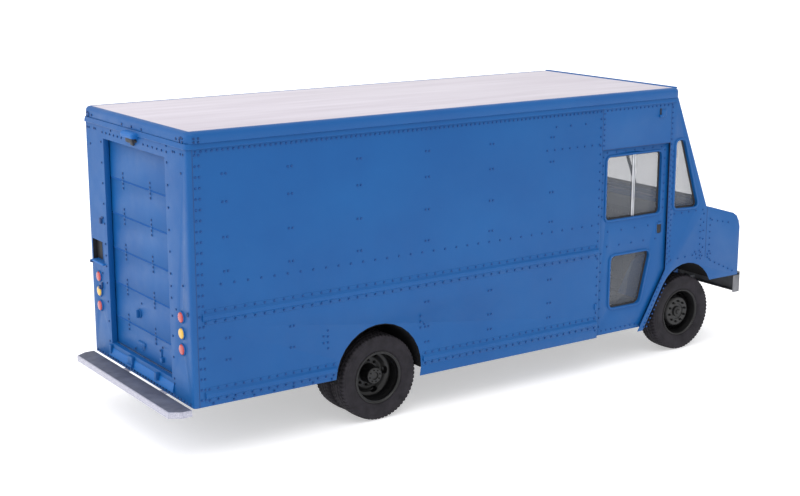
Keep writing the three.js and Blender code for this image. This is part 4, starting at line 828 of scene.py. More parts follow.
# %% Rows on the tail and nose
corner_bolts = np.array([(1.036, 2.963), (0.916, 2.966), (0.878, 2.965), (1.04, 2.905), (0.916, 2.908),
    (0.881, 2.908), (1.09, 2.963), (1.09, 2.905)])
pillar_bolts = np.array([(0.752, z) for z in (2.79, 2.58, 2.37, 2.16, 1.955, 1.746, 1.626, 1.514, 1.34,
    1.144, 0.937, 0.726, 0.676)])
tail_rows = np.concatenate([
    corner_bolts, corner_bolts * (-1, 1), pillar_bolts, pillar_bolts * (-1, 1),
    [(1.02, 2.74), (-1.04, 2.73), (-1.0, 1.68), (-0.84, 1.42), (0.86, 1.42)],
    row((0.25, 2.892), (0.71, 2.892), 0.1), row((-0.25, 2.892), (-0.75, 2.888), 0.1),
    [(0.71, 2.963), (0.5, 2.93), (-0.75, 2.943)],
    row((-1.08, SKIRT_TAIL + 0.026), (1.08, SKIRT_TAIL + 0.026), 0.065),
])
rail_bolts = on_tail([(0.222, 3.03), (0.0, 3.03), (-0.224, 3.03), (1.03, 3.035), (0.96, 3.035),
    (-1.03, 3.035), (-0.96, 3.035), (1.06, 3.055), (-1.06, 3.055)])
nose_rows = np.concatenate([
    row((-1.05, 0.85), (1.05, 0.85), 0.07), row((-1.05, 1.36), (1.05, 1.36), 0.07),
    row((-1.1, 0.9), (-1.1, 1.3), 0.08), row((1.1, 0.9), (1.1, 1.3), 0.08),
])
piece("tail_rivets", [domes(on_tail(tail_rows), BACKWARD, 0.0125, 0.009), domes(rail_bolts, BACKWARD,
    0.015, 0.01)], RIVET_PAINTED_SHADE_DARKEST, "truck")
piece("nose_rivets", [domes(on_nose(nose_rows), FORWARD, 0.0095, 0.006)], RIVET_PAINTED_SHADE_DARKEST, "truck")

# %% [markdown]
# ## Seams, flashings and reveals
# A folded strip sheds rain just under the roof rail. It leans out at its foot, so it catches
# more light than the skin below. Where two skins meet there is a bead of dark sealant.

# %% Rain strip and sealant
corner = np.linspace(0, np.pi / 2, 5)[1:-1]
RAIN_FRONT = 2.545
half_path = np.concatenate([[(RAIN_FRONT, HALF), (TAIL + 0.04, HALF)],
                            np.stack([TAIL + 0.04 * (1 - np.sin(corner)),
                            HALF - 0.04 * (1 - np.cos(corner))], 1), [(TAIL, HALF - 0.04)]])
rain_path = np.concatenate([half_path, half_path[::-1] * (1, -1)])
rain_path = np.stack([rain_path[:, 0], rain_path[:, 1], np.zeros(len(rain_path))], 1)
rain_section = np.array([(0.002, RAIL_UNDER - 0.001), (-0.006, RAIL_UNDER - 0.001),
                         (-0.016, RAIL_UNDER - 0.044), (-0.013, RAIL_UNDER - 0.05),
                         (0.002, RAIL_UNDER - 0.052)])
if sideways(rain_path, UPWARD, False)[0][1] > 0:
    rain_section = rain_section * (-1, 1)
piece("rain_strip", [swept(rain_path, rain_section, UPWARD, closed=False)], BLUE, "truck")


def bead(flat_points, side, width=0.007, proud=0.0015, face=None):
    """Sealant: a low half-round carried along a line on a side."""
    angle = np.linspace(0, np.pi, 5)
    section = np.concatenate([np.stack([width / 2 * np.cos(angle), proud * np.sin(angle)], 1),
        [(-width / 2, -0.002), (width / 2, -0.002)]])
    return swept(on_side(side, flat_points, face=face), section * (1, side), ACROSS, closed=False)


for hand, side in SIDES.items():
    seams = [
        bead([(SEAM, DOOR_TOP), (SEAM, 2.95)], side), bead([(COWL, 1.09), (COWL, 1.69)], side),
        bead([(TAIL + 0.0605, SKIRT_TAIL), (TAIL + 0.0605, 2.95)], side),
        bead([(SEAM + 0.01, DOOR_TOP + 0.003), (PILLAR, DOOR_TOP + 0.003)], side),
        bead([(PILLAR + 0.003, 1.14), (PILLAR + 0.003, 2.95)], side),
    ]
    piece(f"sealant_{hand}", seams, SEALANT, "truck")

# %% [markdown]
# Every cab window stands in a raised pressed frame with a rubber gasket inside it. A frame is
# one section carried round the window's outline. The upper door window slides, so it has two
# sashes and an upright aluminium edge between them.

# %% Window frames and gaskets
WINDOW_TOP = DOOR_TOP - 0.085
upper_window = rounded([(SEAM + 0.1, WAIST), (PILLAR - 0.1, WAIST), (PILLAR - 0.1, WINDOW_TOP),
    (SEAM + 0.1, WINDOW_TOP)], 0.055, 8)
lower_window = rounded([(SEAM + 0.19, 0.69), (PILLAR - 0.37, 0.69), (PILLAR - 0.225, 1.292),
    (SEAM + 0.195, 1.292)], 0.07, 8)
quarter_window = rounded([(PILLAR + 0.092, WAIST + 0.025), (COWL - 0.155, WAIST + 0.01),
                          (PILLAR + 0.218, DOOR_TOP + 0.025), (PILLAR + 0.092, DOOR_TOP + 0.012)],
                         0.06, 8)
FRAME_SECTION = np.array([(-0.001, -0.002), (-0.0035, 0.004), (-0.003, 0.008), (0.001, 0.011),
    (0.012, 0.0115), (0.019, 0.008), (0.023, 0.001), (0.023, -0.002)])
GASKET_SECTION = np.array([(-0.001, -0.022), (-0.016, -0.022), (-0.018, -0.019), (-0.016, -0.015),
    (-0.006, -0.012), (-0.001, -0.008)])


def window_trim(hand, name, outline, face, body, depth, frame_section=FRAME_SECTION):
    """The raised frame on the skin and the gasket at the foot of the reveal, depth behind the face."""
    side = SIDES[hand]
    up = np.array((0.0, side, 0.0))
    frame_ring = swept(on_side(side, outline, face=face), frame_section, up)
    gasket_ring = swept(on_side(side, outline, -depth + 0.02, face=face), GASKET_SECTION, up)
    piece(f"{name}_frame_{hand}", [frame_ring], BLUE, body)
    piece(f"{name}_gasket_{hand}", [gasket_ring], SEAL, body)


for hand, side in SIDES.items():
    window_trim(hand, "upper_window", upper_window, DOOR_FACE, f"{hand}_cab_door", 0.04)
    window_trim(hand, "lower_window", lower_window, DOOR_FACE, f"{hand}_cab_door", 0.04)
    window_trim(hand, "quarter_window", quarter_window, HALF, "truck", 0.043)
    sash_x = (SEAM + PILLAR) / 2 + 0.015
    sash_edges = [raised(on_side(side, oblong(sash_x + shift, (WAIST + WINDOW_TOP) / 2, wide,
                                              WINDOW_TOP - WAIST, 0.003), face=DOOR_FACE - 0.039),
                         (0.0, side, 0.0), [(0, 0), (0, out - 0.002), (0.002, out)])
                  for shift, wide, out in ((0, 0.026, 0.008), (0.02, 0.012, 0.014))]
    piece(f"sash_edge_{hand}", sash_edges, SATIN_ALUMINIUM, f"{hand}_cab_door")

# %% [markdown]
# The windscreen is two flat panes held in one broad rubber gasket, with a rubber bar down the
# middle where they meet.

# %% Windscreen gasket
screen_top, screen_foot = np.array((PILLAR + 0.094, RAIL_UNDER - 0.001)), np.array((COWL - 0.015, WAIST))
screen_run = (screen_top - screen_foot) / np.linalg.norm(screen_top - screen_foot)
screen_out = np.array((-screen_run[1], 0.0, screen_run[0])) * -1
screen_length = np.linalg.norm(screen_top - screen_foot)


def on_screen(flat, out=0.0):
    """(y, distance up the screen) pairs stood on the windscreen's plane."""
    flat = np.asarray(flat, float)
    at = screen_foot + flat[:, 1:] * screen_run
    return np.stack([at[:, 0], flat[:, 0], at[:, 1]], 1) + out * screen_out


SCREEN_HALF = HALF - 0.11
screen_outline = on_screen(rounded([(-SCREEN_HALF, 0.09), (SCREEN_HALF, 0.09),
    (SCREEN_HALF, screen_length - 0.15), (-SCREEN_HALF, screen_length - 0.15)], 0.05, 6))
rubber_section = np.array([(-0.03, -0.004), (-0.028, 0.001), (-0.012, 0.0032), (0.012, 0.0032),
    (0.026, 0.001), (0.026, -0.002)])
bar_outline = on_screen(oblong(0.0, screen_length / 2 - 0.03, 0.05, screen_length - 0.25, 0.01), -0.006)
piece("windscreen_gasket", [swept(screen_outline, rubber_section, screen_out),
                            raised(bar_outline, screen_out, [(0, 0), (0, 0.008), (0.006, 0.014)])],
      SEAL, "truck")

# %% [markdown]
# ## The rear door and the tail
# The rear door folds at five joints. Each joint has a rounded weather bead and two hinges, and
# each hinge is a thin leaf with a knuckle and four rivets. A round dished latch sits near the
# bottom, with a hook plate and two small brackets below it.

# %% Rear door joints, hinges and latch
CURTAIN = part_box("rear_door")[0][0]
DOOR_JOINTS = (1.0, 1.36, 1.72, 2.08, 2.44)
HINGE_Y = (0.4, -0.225)
BEAD_HALF = 0.694


def block_on(flat_middle, size, thick, edge=0.003, face=None, corner=0.006):
    """A small plate stood on the tail, round a (y, z) middle."""
    return plate(on_tail(oblong(*flat_middle, *size, corner), face=face), BACKWARD, thick, edge)


angle = np.linspace(0, np.pi, 7)
joint_section = np.stack([0.010 * np.cos(angle), 0.0035 * np.sin(angle) - 0.001], 1)
beads = []
for z in DOOR_JOINTS:
    line = np.array([(CURTAIN, BEAD_HALF, z), (CURTAIN, -BEAD_HALF, z)])
    beads.append(swept(line, joint_section, BACKWARD, closed=False))
piece("door_joint_beads", beads, JOINT_BLUE, "rear_curtain")

hinges, hinge_rivets = [], []
for y in HINGE_Y:
    for z in DOOR_JOINTS:
        hinges.append(block_on((y, z), (0.036, 0.18), 0.0012, 0.0005, CURTAIN))
        knuckle = np.array([(0.0001, -0.022), (0.006, -0.022), (0.0065, -0.02), (0.0065, 0.02),
            (0.006, 0.022), (0.0001, 0.022)])
        hinges.append(turned(knuckle, (CURTAIN - 0.004, y, z), ACROSS, 12))
        hinge_rivets += [(y, z + dz) for dz in (-0.073, -0.03, 0.03, 0.073)]
hinge_heads = domes(on_tail(hinge_rivets, 0.001, CURTAIN), BACKWARD, 0.0135, 0.009)
piece("door_hinges", hinges, BLUE, "rear_curtain")
piece("door_hinge_rivets", [hinge_heads, domes(on_tail([(0.08, 1.262)], 0, CURTAIN), BACKWARD, 0.012,
    0.008)], RIVET_PAINTED_SHADE_DARKEST, "rear_curtain")

_, latch_y, latch_z = middle_of("rear_door_handle")
dish = np.array([(0.0001, 0.004), (0.03, 0.005), (0.038, 0.011), (0.043, 0.015), (0.047, 0.015),
    (0.049, 0.012), (0.049, 0.0)])
grip = raised(on_tail(oblong(latch_y, latch_z, 0.026, 0.084, 0.012), 0.002, CURTAIN), BACKWARD,
              [(0, 0), (0, 0.026), (0.002, 0.034), (0.006, 0.039), (0.011, 0.04)])
piece("latch_dish", [turned(dish, (CURTAIN, latch_y, latch_z), BACKWARD, 40), grip], BLUE, "rear_latch",
    ["rear_door_handle"])

hook = raised(on_tail(oblong(0.1, 0.845, 0.17, 0.045, 0.02), 0, CURTAIN), BACKWARD,
    [(0, 0), (0, 0.004), (0.006, 0.016), (0.012, 0.02)])
ring_section = circle(0.005, 8, (0.017, 0.012))
ring = turned(ring_section, (CURTAIN - 0.012, 0.055, 0.80), BACKWARD, 20, closed=True)
bracket = [block_on((-0.34, 0.845), (0.035, 0.11), 0.012, face=CURTAIN), block_on((-0.375, 0.80),
    (0.05, 0.05), 0.03, face=CURTAIN)]
piece("door_hook", [hook, ring] + bracket, BLUE, "rear_curtain")
piece("door_hook_bolts",
      [domes(on_tail([(0.16, 0.85), (0.05, 0.85), (-0.34, 0.885), (-0.375, 0.805), (-0.395, 0.93),
                      (0.25, 0.76)], 0.012, CURTAIN), BACKWARD, 0.012, 0.01)],
      RIVET_PAINTED_SHADE_DARKEST, "rear_curtain")

# %% [markdown]
# A folded blue strip leans out along the foot of the door opening, with a hinge block in its
# middle. A thin threshold closes the slit below the door. Above the opening a small hood
# shades the load-space lamp.

# %% Sill strip, lamp hood and small tail fittings
sill_fold = np.array([(TAIL + 0.001, 0.67), (TAIL - 0.003, 0.67), (TAIL - 0.022, 0.605),
    (TAIL - 0.022, 0.585), (TAIL - 0.015, 0.58), (TAIL + 0.001, 0.58)])


def along_y(section, half_width):
    """An (x, z) section carried straight across the truck, from right to left."""
    line = np.array([(0.0, -half_width, 0.0), (0.0, half_width, 0.0)])
    return swept(line, section, UPWARD, closed=False)


# The sill strip, the lamp hood and the plate ledge are drawn in the brighter blue, a painted highlight.
piece("sill_strip", [along_y(sill_fold, 0.745)], STRIP_PAINTED_HIGHLIGHT, "truck")
threshold = np.array([(TAIL + 0.056, 0.7152), (TAIL + 0.108, 0.7152), (TAIL + 0.108, 0.7182),
    (TAIL + 0.056, 0.7182)])
piece("threshold", [along_y(threshold, 0.697)], SATIN_ALUMINIUM, "truck")
sill_hinge = [block_on((0.2, 0.655), (0.1, 0.1), 0.034), block_on((-0.41, 0.66), (0.045, 0.075), 0.045),
    block_on((0.7, 0.66), (0.05, 0.09), 0.03)]
pin = np.array([(0.0001, -0.06), (0.014, -0.06), (0.014, 0.06), (0.0001, 0.06)])
sill_hinge.append(turned(pin, (TAIL - 0.038, 0.2, 0.61), ACROSS, 14))
piece("sill_hinge", sill_hinge, BLUE, "truck")
hood_outline = on_tail(oblong(-0.01, 2.957, 0.27, 0.062, 0.028, 6))
hood_shape = raised(hood_outline, BACKWARD, [(0, -0.001), (0, 0.045), (0.004, 0.06), (0.012, 0.068),
    (0.022, 0.07)])
piece("lamp_hood", [hood_shape], STRIP_PAINTED_HIGHLIGHT, "truck")
piece("load_lamp",
      [block_on((-0.01, 2.905), (0.15, 0.045), 0.04), block_on((-0.03, 2.872), (0.06, 0.03), 0.02),
       domes(on_tail([(-0.1, 2.9), (0.075, 2.88), (-0.03, 2.862)]), BACKWARD, 0.014, 0.02)],
      PLASTIC, "truck")
# Thin dark rubber sheets on the recess's left wall and back wall are painted shade inside the number-plate
# recess.
recess_shade_sheet = np.array([(TAIL + 0.0005, 1.532), (TAIL + 0.047, 1.532), (TAIL + 0.047, 1.748),
    (TAIL + 0.0005, 1.748)])
recess_shade_sheet = np.stack([recess_shade_sheet[:, 0], np.full(4, 1.0895), recess_shade_sheet[:, 1]], 1)
piece("plate_recess_painted_shade", [raised(recess_shade_sheet, (0.0, -1.0, 0.0), [(0, 0), (0, 0.002)]),
                             block_on((1.02, 1.642), (0.135, 0.208), 0.002, 0.0005, TAIL + 0.0475, 0.004)],
                             SEAL, "truck")
piece("plate_ledge", [block_on((0.945, 1.519), (0.30, 0.02), 0.022)], STRIP_PAINTED_HIGHLIGHT, "truck")
small_fittings = [
    block_on((0.83, 1.975), (0.035, 0.06), 0.022), block_on((0.8, 2.01), (0.05, 0.02), 0.012),
    block_on((0.905, 1.262), (0.045, 0.03), 0.03), block_on((0.88, 1.29), (0.02, 0.06), 0.016),
    turned(ring_section * (1, 0.6), (TAIL, -1.085, 1.425), BACKWARD, 20, closed=True),
    block_on((1.105, 1.505), (0.03, 0.03), 0.03),
]
piece("tail_fittings", small_fittings, SEALANT, "truck")

# %% [markdown]
# Three round lamps stand in a column on each side of the tail. Each is a domed lens in a thin
# rim: red for tail and stop, amber for turning.

# %% Tail lamps
LAMP_Z = (1.06, 1.215, 1.37)
LAMP_INSET = 0.2
lens_profile = np.array([(0.05, -0.006), (0.05, 0.011), (0.0485, 0.0155), (0.044, 0.019), (0.034, 0.0215),
    (0.018, 0.0228), (0.0001, 0.023)])
rim_profile = np.array([(0.0508, 0.0), (0.0508, 0.008), (0.054, 0.011), (0.059, 0.009), (0.061, 0.0)])
for hand, side in SIDES.items():
    lamp_y = side * (HALF - LAMP_INSET)
    lenses = [turned(lens_profile, (TAIL, lamp_y, z), BACKWARD, 40) for z in LAMP_Z]
    piece(f"red_lenses_{hand}", [lenses[0], lenses[2]], RED_LENS, "truck", [f"tail_lamps_{hand}"])
    piece(f"amber_lens_{hand}", [lenses[1]], AMBER_LENS, "truck")
    piece(f"lamp_rims_{hand}", [turned(rim_profile, (TAIL, lamp_y, z), BACKWARD, 40,
        closed=True) for z in LAMP_Z], BLUE, "truck")

# %% [markdown]
# The roof rail's rear corners are castings, bolted in two short columns on each face, and the
# front of the roof has a bar of moulding and five clearance lamps. The step has a gritty tread
# sheet set inside its edge.

# %% Roof corners, front moulding and the rear step
casting_heads = []
for side in (1, -1):
    casting_heads.append(domes([(x, side * (HALF + 0.02), z) for x in (TAIL + 0.07,
        TAIL + 0.115) for z in (3.018, 3.052)], (0, side, 0), 0.0125, 0.009))
casting_heads.append(domes(on_tail([(s * y, z) for s in (1, -1) for y in (1.085, 1.035) for z in (3.018,
    3.05)]), BACKWARD, 0.0125, 0.009))
piece("corner_casting_bolts", casting_heads, RIVET_PAINTED_SHADE_DARKEST, "truck")
rail_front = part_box("roof_rail")[1][0]
roof_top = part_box("roof_panel")[1][2]
moulding = np.array([(rail_front - 0.034 + 0.02 * math.cos(a),
    roof_top - 0.004 + 0.016 * math.sin(a)) for a in np.linspace(0, np.pi, 7)])
piece("roof_front_moulding", [along_y(moulding, HALF - 0.03)], BLUE, "truck")
marker_profile = np.array([(0.026, -0.004), (0.026, 0.012), (0.022, 0.021), (0.012, 0.027),
    (0.0001, 0.028)])
markers = [turned(marker_profile, (rail_front - 0.001, y, roof_top - 0.07), FORWARD, 20) for y in (-0.95,
    -0.3, 0.0, 0.3, 0.95)]
piece("clearance_lamps", markers, AMBER_LENS, "truck")

step_back, step_top = corners_of("rear_bumper")[0][0], SKIRT_TAIL - 0.005
tread = np.array([(step_back + 0.012, -HALF + 0.078), (step_back + 0.114, -HALF + 0.012),
                  (TAIL - 0.026, -HALF + 0.012), (TAIL - 0.026, HALF - 0.012),
                  (step_back + 0.114, HALF - 0.012), (step_back + 0.012, HALF - 0.078)])
tread = np.stack([tread[:, 0], tread[:, 1], np.full(6, step_top)], 1)
piece("step_tread", [raised(tread, UPWARD, [(0, -0.001), (0, 0.002), (0.002, 0.003)])], GRIP_SHEET, "truck")

# %% [markdown]
# ## Side fittings
# Each sliding door has a dark cupped grab handle, and a small hooked bracket stands on the
# header above it. A rubber strip stands behind the pillar's edge, so no daylight shows past
# the door.

# %% Door handles, header brackets and seals
def plate_on_side(side, flat_middle, size, thick, face, edge=0.003, corner=0.01):
    """A small plate stood on a side, round an (x, z) middle."""
    return plate(on_side(side, oblong(*flat_middle, *size, corner), face=face), (0.0, side, 0.0), thick,
        edge)


HANDLE_MIDDLE = (2.39, 1.535)
HANDLE_SIZE = (0.07, 0.135)
for hand, side in SIDES.items():
    door = f"{hand}_cab_door"
    cup_outline = on_side(side, oblong(*HANDLE_MIDDLE, *HANDLE_SIZE, 0.03, 6), face=DOOR_FACE)
    cup_rim = swept(cup_outline, np.array([(-0.002, -0.001), (-0.002, 0.003), (0.002, 0.006),
        (0.008, 0.005), (0.012, -0.001)]), (0.0, side, 0.0))
    piece(f"handle_rim_{hand}", [cup_rim, plate_on_side(side, (2.39, 1.585), (0.06, 0.024), 0.012,
        DOOR_FACE)], BLUE, door)
    piece(f"handle_cup_{hand}", [plate_on_side(side, HANDLE_MIDDLE, HANDLE_SIZE, 0.0012, DOOR_FACE, 0.0005,
        0.03)], SEAL, door)
    piece(f"header_bracket_{hand}", [plate_on_side(side, (2.365, 2.845), (0.075, 0.085), 0.012, HALF),
                                     plate_on_side(side, (2.325, 2.815), (0.05, 0.03), 0.02, HALF)],
          BLUE, "truck")
    # The slot is drawn as a raised dark plate: painted shade in the bracket's opening.
    piece(f"header_slot_painted_shade_{hand}", [plate_on_side(side, (2.318, 2.862), (0.016, 0.075), 0.008, HALF, 0.002,
        0.004)], SEAL, "truck")
    strip_box = np.array([(PILLAR + 0.0145, 1.67), (PILLAR + 0.034, 1.67),
        (PILLAR + 0.034, DOOR_TOP + 0.01), (PILLAR + 0.0145, DOOR_TOP + 0.01)])
    piece(f"door_seal_{hand}", [raised(on_side(side, strip_box, face=DOOR_FACE - 0.036), (0.0, side, 0.0),
        [(0, 0), (0, 0.06), (0.003, 0.0625)])], SEAL, "truck")
    piece(f"seam_catch_{hand}", [plate_on_side(side, (SEAM - 0.03, 0.755), (0.045, 0.07), 0.01, HALF)],
        BLUE, "truck")

# %% [markdown]
# The wheel arches are lined with black undercoat. A rear lining is a tub: a curved roof and a
# flat inner wall, with a flange that closes the gap behind the skin. A front one follows the
# wheel well, with room for the wheel to steer.

# %% Arch linings
def arc_points(middle, radius, from_degrees, to_degrees, steps):
    """Points along part of a circle: middle + radius * (cos, sin)."""
    angle = np.radians(np.linspace(from_degrees, to_degrees, steps + 1))
    return np.stack([middle[0] + radius * np.cos(angle), middle[1] + radius * np.sin(angle)], 1)


def lining(side, line, inner_y, outer_y, thick=0.003):
    """A sheet carried across the truck along a line of (x, z) points, and the wall that closes its inner
    side."""
    path = np.stack([line[:, 0], np.zeros(len(line)), line[:, 1]], 1)
    low, high = sorted((side * inner_y, side * outer_y))
    section = np.array([(-thick / 2, low), (thick / 2, low), (thick / 2, high), (-thick / 2, high)])
    wall = np.stack([line[:, 0], np.full(len(line), side * inner_y), line[:, 1]], 1)
    return [swept(path, section, ACROSS, closed=False), raised(wall, (0.0, side, 0.0),
        [(0, -thick), (0, 0)])]


def flange_ring(side, line, inwards=0.002, outwards=0.034, behind=(0.0045, 0.0075)):
    """A flat strip that follows a lining's line just behind the skin; a section of (towards the middle,
    y) pairs."""
    path = np.stack([line[:, 0], np.zeros(len(line)), line[:, 1]], 1)
    low, high = sorted(side * (HALF - depth) for depth in behind)
    section = np.array([(-outwards, low), (inwards, low), (inwards, high), (-outwards, high)])
    return swept(path, section, ACROSS, closed=False)


WELL_MIDDLE = (FRONT_AXLE_X - 0.05, TYRE_RADIUS + 0.045)
WELL_RADIUS, REAR_LINING_RADIUS = 0.579, 0.5
for hand, side in SIDES.items():
    rear_line = arc_points(REAR_ARCH, REAR_LINING_RADIUS, -3, 183, 36)
    piece(f"rear_arch_lining_{hand}",
          lining(side, rear_line, 0.562, HALF - 0.008) + [flange_ring(side, rear_line)],
          UNDERCOAT, "truck")
    front_line = arc_points(WELL_MIDDLE, WELL_RADIUS, 34, 117, 16)
    front_line = np.concatenate([front_line, [(STRIP_EDGE + 0.024 + 0.001, 0.392)]])
    piece(f"front_arch_lining_{hand}", lining(side, front_line, 0.556, HALF - 0.008), UNDERCOAT, "truck")

# %% [markdown]
# ## The nose
# Each headlamp has a plated rim, a fluted glass face and a turn lamp outside it. The grille
# stands in a bright surround.

# %% Headlamps, turn lamps and grille
HEADLAMP_Y, HEADLAMP_Z, TURN_LAMP_Y = 0.89, 1.14, 1.06
FLUTES, FLUTE_DEPTH = 12, 0.0008
flute = FLUTE_DEPTH * np.cos(np.linspace(0, 2 * np.pi, 48, endpoint=False) * FLUTES)[:, None]
for hand, side in SIDES.items():
    lamp = (side * HEADLAMP_Y, HEADLAMP_Z)
    glass_profile = np.array([(0.0935, 0.0), (0.0935, 0.012), (0.088, 0.02), (0.07, 0.028), (0.045, 0.033),
        (0.02, 0.035), (0.0001, 0.036)])
    glass_face = turned(glass_profile, (NOSE + 0.003, *lamp), FORWARD, 48,
        turn=flute * (glass_profile[None, :, 0] < 0.09))
    piece(f"headlamp_glass_{hand}", [glass_face], CLEAR_LENS, "truck")
    bezel = np.array([(0.0965, 0.001), (0.0965, 0.018), (0.1, 0.024), (0.107, 0.024), (0.114, 0.018),
        (0.118, 0.008), (0.119, 0.0)])
    piece(f"headlamp_rim_{hand}", [turned(bezel, (NOSE, *lamp), FORWARD, 48, closed=True)], CHROME, "truck")
    turn_outline = on_nose(oblong(side * TURN_LAMP_Y, HEADLAMP_Z, 0.06, 0.11, 0.02, 5))
    piece(f"turn_lamp_{hand}", [raised(turn_outline, FORWARD, [(0, -0.001), (0, 0.018), (0.004, 0.026),
        (0.012, 0.029)])], AMBER_LENS, "truck")
grille_low, grille_high = corners_of("grille")
grille_outline = on_nose(oblong(0.0, (grille_low[2] + grille_high[2]) / 2,
    grille_high[1] - grille_low[1] + 0.01, grille_high[2] - grille_low[2] + 0.01, 0.02, 5))
surround = np.array([(-0.012, 0.0), (-0.01, 0.006), (0.0, 0.009), (0.012, 0.006), (0.014, 0.0)])
piece("grille_surround", [swept(grille_outline, surround, FORWARD)], SATIN_ALUMINIUM, "truck")

# %% [markdown]
# ## The driver's place
# The seat has a moulded shell that carries two vinyl cushions. Each cushion starts as a
# rounded block a little too small and is filled with air as a cloth. No point may then move
# further than the shell would let it.

# %% Seat shell and cushions
SEAT_X, SEAT_Y = SEAM + 0.38, 0.48
VOXEL, SWELL_CAP = 0.012, 0.014
AIR_PRESSURE, CLOTH_STEPS = 4.0, 20
SEAT_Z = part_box("seat_pedestal")[1][2]
shell_line = np.array([(0.25, 0.012), (0.0, 0.006), (-0.235, 0.01), (-0.262, 0.03), (-0.3, 0.25),
    (-0.332, 0.68)])
shell_back = shell_line[::-1] + np.array([(-0.012, 0.0), (-0.012, 0.0), (-0.012, -0.004), (-0.002, -0.009),
    (0.0, -0.005), (0.0, -0.009)])
shell_outline = np.concatenate([shell_line, shell_back])
shell_outline = np.stack([SEAT_X + shell_outline[:, 0], np.full(12, SEAT_Y - 0.235),
    SEAT_Z + 0.001 + shell_outline[:, 1]], 1)
piece("seat_shell", [raised(shell_outline, ACROSS, [(0, 0), (0, 0.47)])], PLASTIC, "truck", ["seat"], 50)


def cushion(name, corner_low, corner_high, lean):
    """A rounded box, sheared by lean as it rises: |u|^6 + |v|^6 + |w|^6 = 1 between its corners."""
    low, high = np.array(corner_low), np.array(corner_high)
    work = bmesh.new()
    bmesh.ops.create_icosphere(work, subdivisions=5, radius=1.0)
    at = np.array([vertex.co for vertex in work.verts])
    at /= (np.abs(at) ** 6).sum(1, keepdims=True) ** (1 / 6)
    at = (low + high) / 2 + at * (high - low) / 2
    at[:, 0] += lean * (at[:, 2] - low[2])
    faces = np.array([[vertex.index for vertex in face.verts] for face in work.faces])
    work.free()
    made = piece(name, [(at, faces)], VINYL, "truck", sharp_degrees=80)
    remesh = made.modifiers.new("voxels", "REMESH")
    remesh.mode, remesh.voxel_size = "VOXEL", VOXEL
    bpy.context.view_layer.objects.active = made
    bpy.ops.object.modifier_apply(modifier="voxels")
    before = np.empty(len(made.data.vertices) * 3)
    made.data.vertices.foreach_get("co", before)
    cloth = made.modifiers.new("cloth", "CLOTH")
    cloth.settings.use_pressure = True
    cloth.settings.uniform_pressure_force = AIR_PRESSURE
    cloth.settings.effector_weights.gravity = 0.0
    for step in range(1, CLOTH_STEPS + 1):
        scene.frame_set(step)
    filled = np.empty(len(before))
    made.evaluated_get(bpy.context.evaluated_depsgraph_get()).data.vertices.foreach_get("co", filled)
    scene.frame_set(1)
    made.modifiers.remove(cloth)
    moved = (filled - before).reshape(-1, 3)
    far = np.linalg.norm(moved, axis=1, keepdims=True)
    moved *= np.minimum(1.0, SWELL_CAP / np.maximum(far, 1e-9))
    made.data.vertices.foreach_set("co", (before.reshape(-1, 3) + moved).ravel())
    made.data.polygons.foreach_set("use_smooth", np.ones(len(made.data.polygons), bool))
    finer = made.modifiers.new("finer", "SUBSURF")
    finer.levels = finer.render_levels = 1


cushion("seat_cushion", (SEAT_X - 0.21, SEAT_Y - 0.218, SEAT_Z + 0.03), (SEAT_X + 0.232, SEAT_Y + 0.218,
    SEAT_Z + 0.098), 0.0)
cushion("back_cushion", (SEAT_X - 0.262, SEAT_Y - 0.218, SEAT_Z + 0.135), (SEAT_X - 0.178, SEAT_Y + 0.218,
    SEAT_Z + 0.69), -0.13)

# %% [markdown]
# The steering wheel has a moulded rim with finger grips underneath, a padded horn button and
# three flat spokes. The dashboard carries two round dials in a hooded panel, with tick marks
# and plain needles, and a row of switches.

# %% Steering wheel
TILT = math.radians(35)
column = np.array((math.sin(TILT), 0.0, -math.cos(TILT)))
wheel_middle = middle_of("steering_wheel")
wheel_middle[1] = SEAT_Y
rim_section = circle(0.0155, 12, (0.225, 0.0))
grip_wave = 0.002 * np.cos(np.arange(144) * np.pi / 2)[:, None] * (rim_section[None, :, 0] < 0.222)
horn = np.array([(0.0001, -0.034), (0.03, -0.033), (0.045, -0.028), (0.05, -0.018), (0.05, 0.0),
    (0.043, 0.02), (0.04, 0.05), (0.0001, 0.05)])
across_wheel = np.cross(ACROSS, column)
spokes = []
for degrees in (0, 120, 240):
    turn = math.radians(degrees + 180)
    toward = math.cos(turn) * across_wheel + math.sin(turn) * ACROSS
    beside = np.cross(column, toward)
    flat = np.array([(0.03, -0.02), (0.213, -0.014), (0.213, 0.014), (0.03, 0.02)])
    outline = wheel_middle + flat[:, :1] * toward + flat[:, 1:] * beside - column * 0.006
    spokes.append(raised(outline, column, [(0.002, 0), (0, 0.002), (0, 0.008), (0.002, 0.01)]))
piece("wheel_rim_and_spokes",
      [turned(rim_section, wheel_middle, column, 144, closed=True, turn=grip_wave),
       turned(horn, wheel_middle, column, 40)] + spokes,
      PLASTIC, "hand_wheel", ["steering_wheel"])

# %% Dials and switches
dash_low = corners_of("dashboard")[0]
FACE_BACK = dash_low[0] - 0.001
face_bottom, face_top = dash_low[2], WAIST - 0.15
dial_z = (face_bottom + face_top) / 2 + 0.01
dials, dial_discs, marks = [], [], []


def dial_mark(dial_y, turn, lift, thick, outline):
    """A thin raised mark, drawn (towards the rim, beside) and turned about the dial's middle."""
    toward = np.array((0.0, -math.sin(turn), math.cos(turn)))
    flat = np.array(outline)
    middle = np.array((FACE_BACK - lift, dial_y, dial_z))
    points = middle + flat[:, :1] * toward + flat[:, 1:] * np.cross(BACKWARD, toward)
    return raised(points, BACKWARD, [(0, 0), (0, thick)])


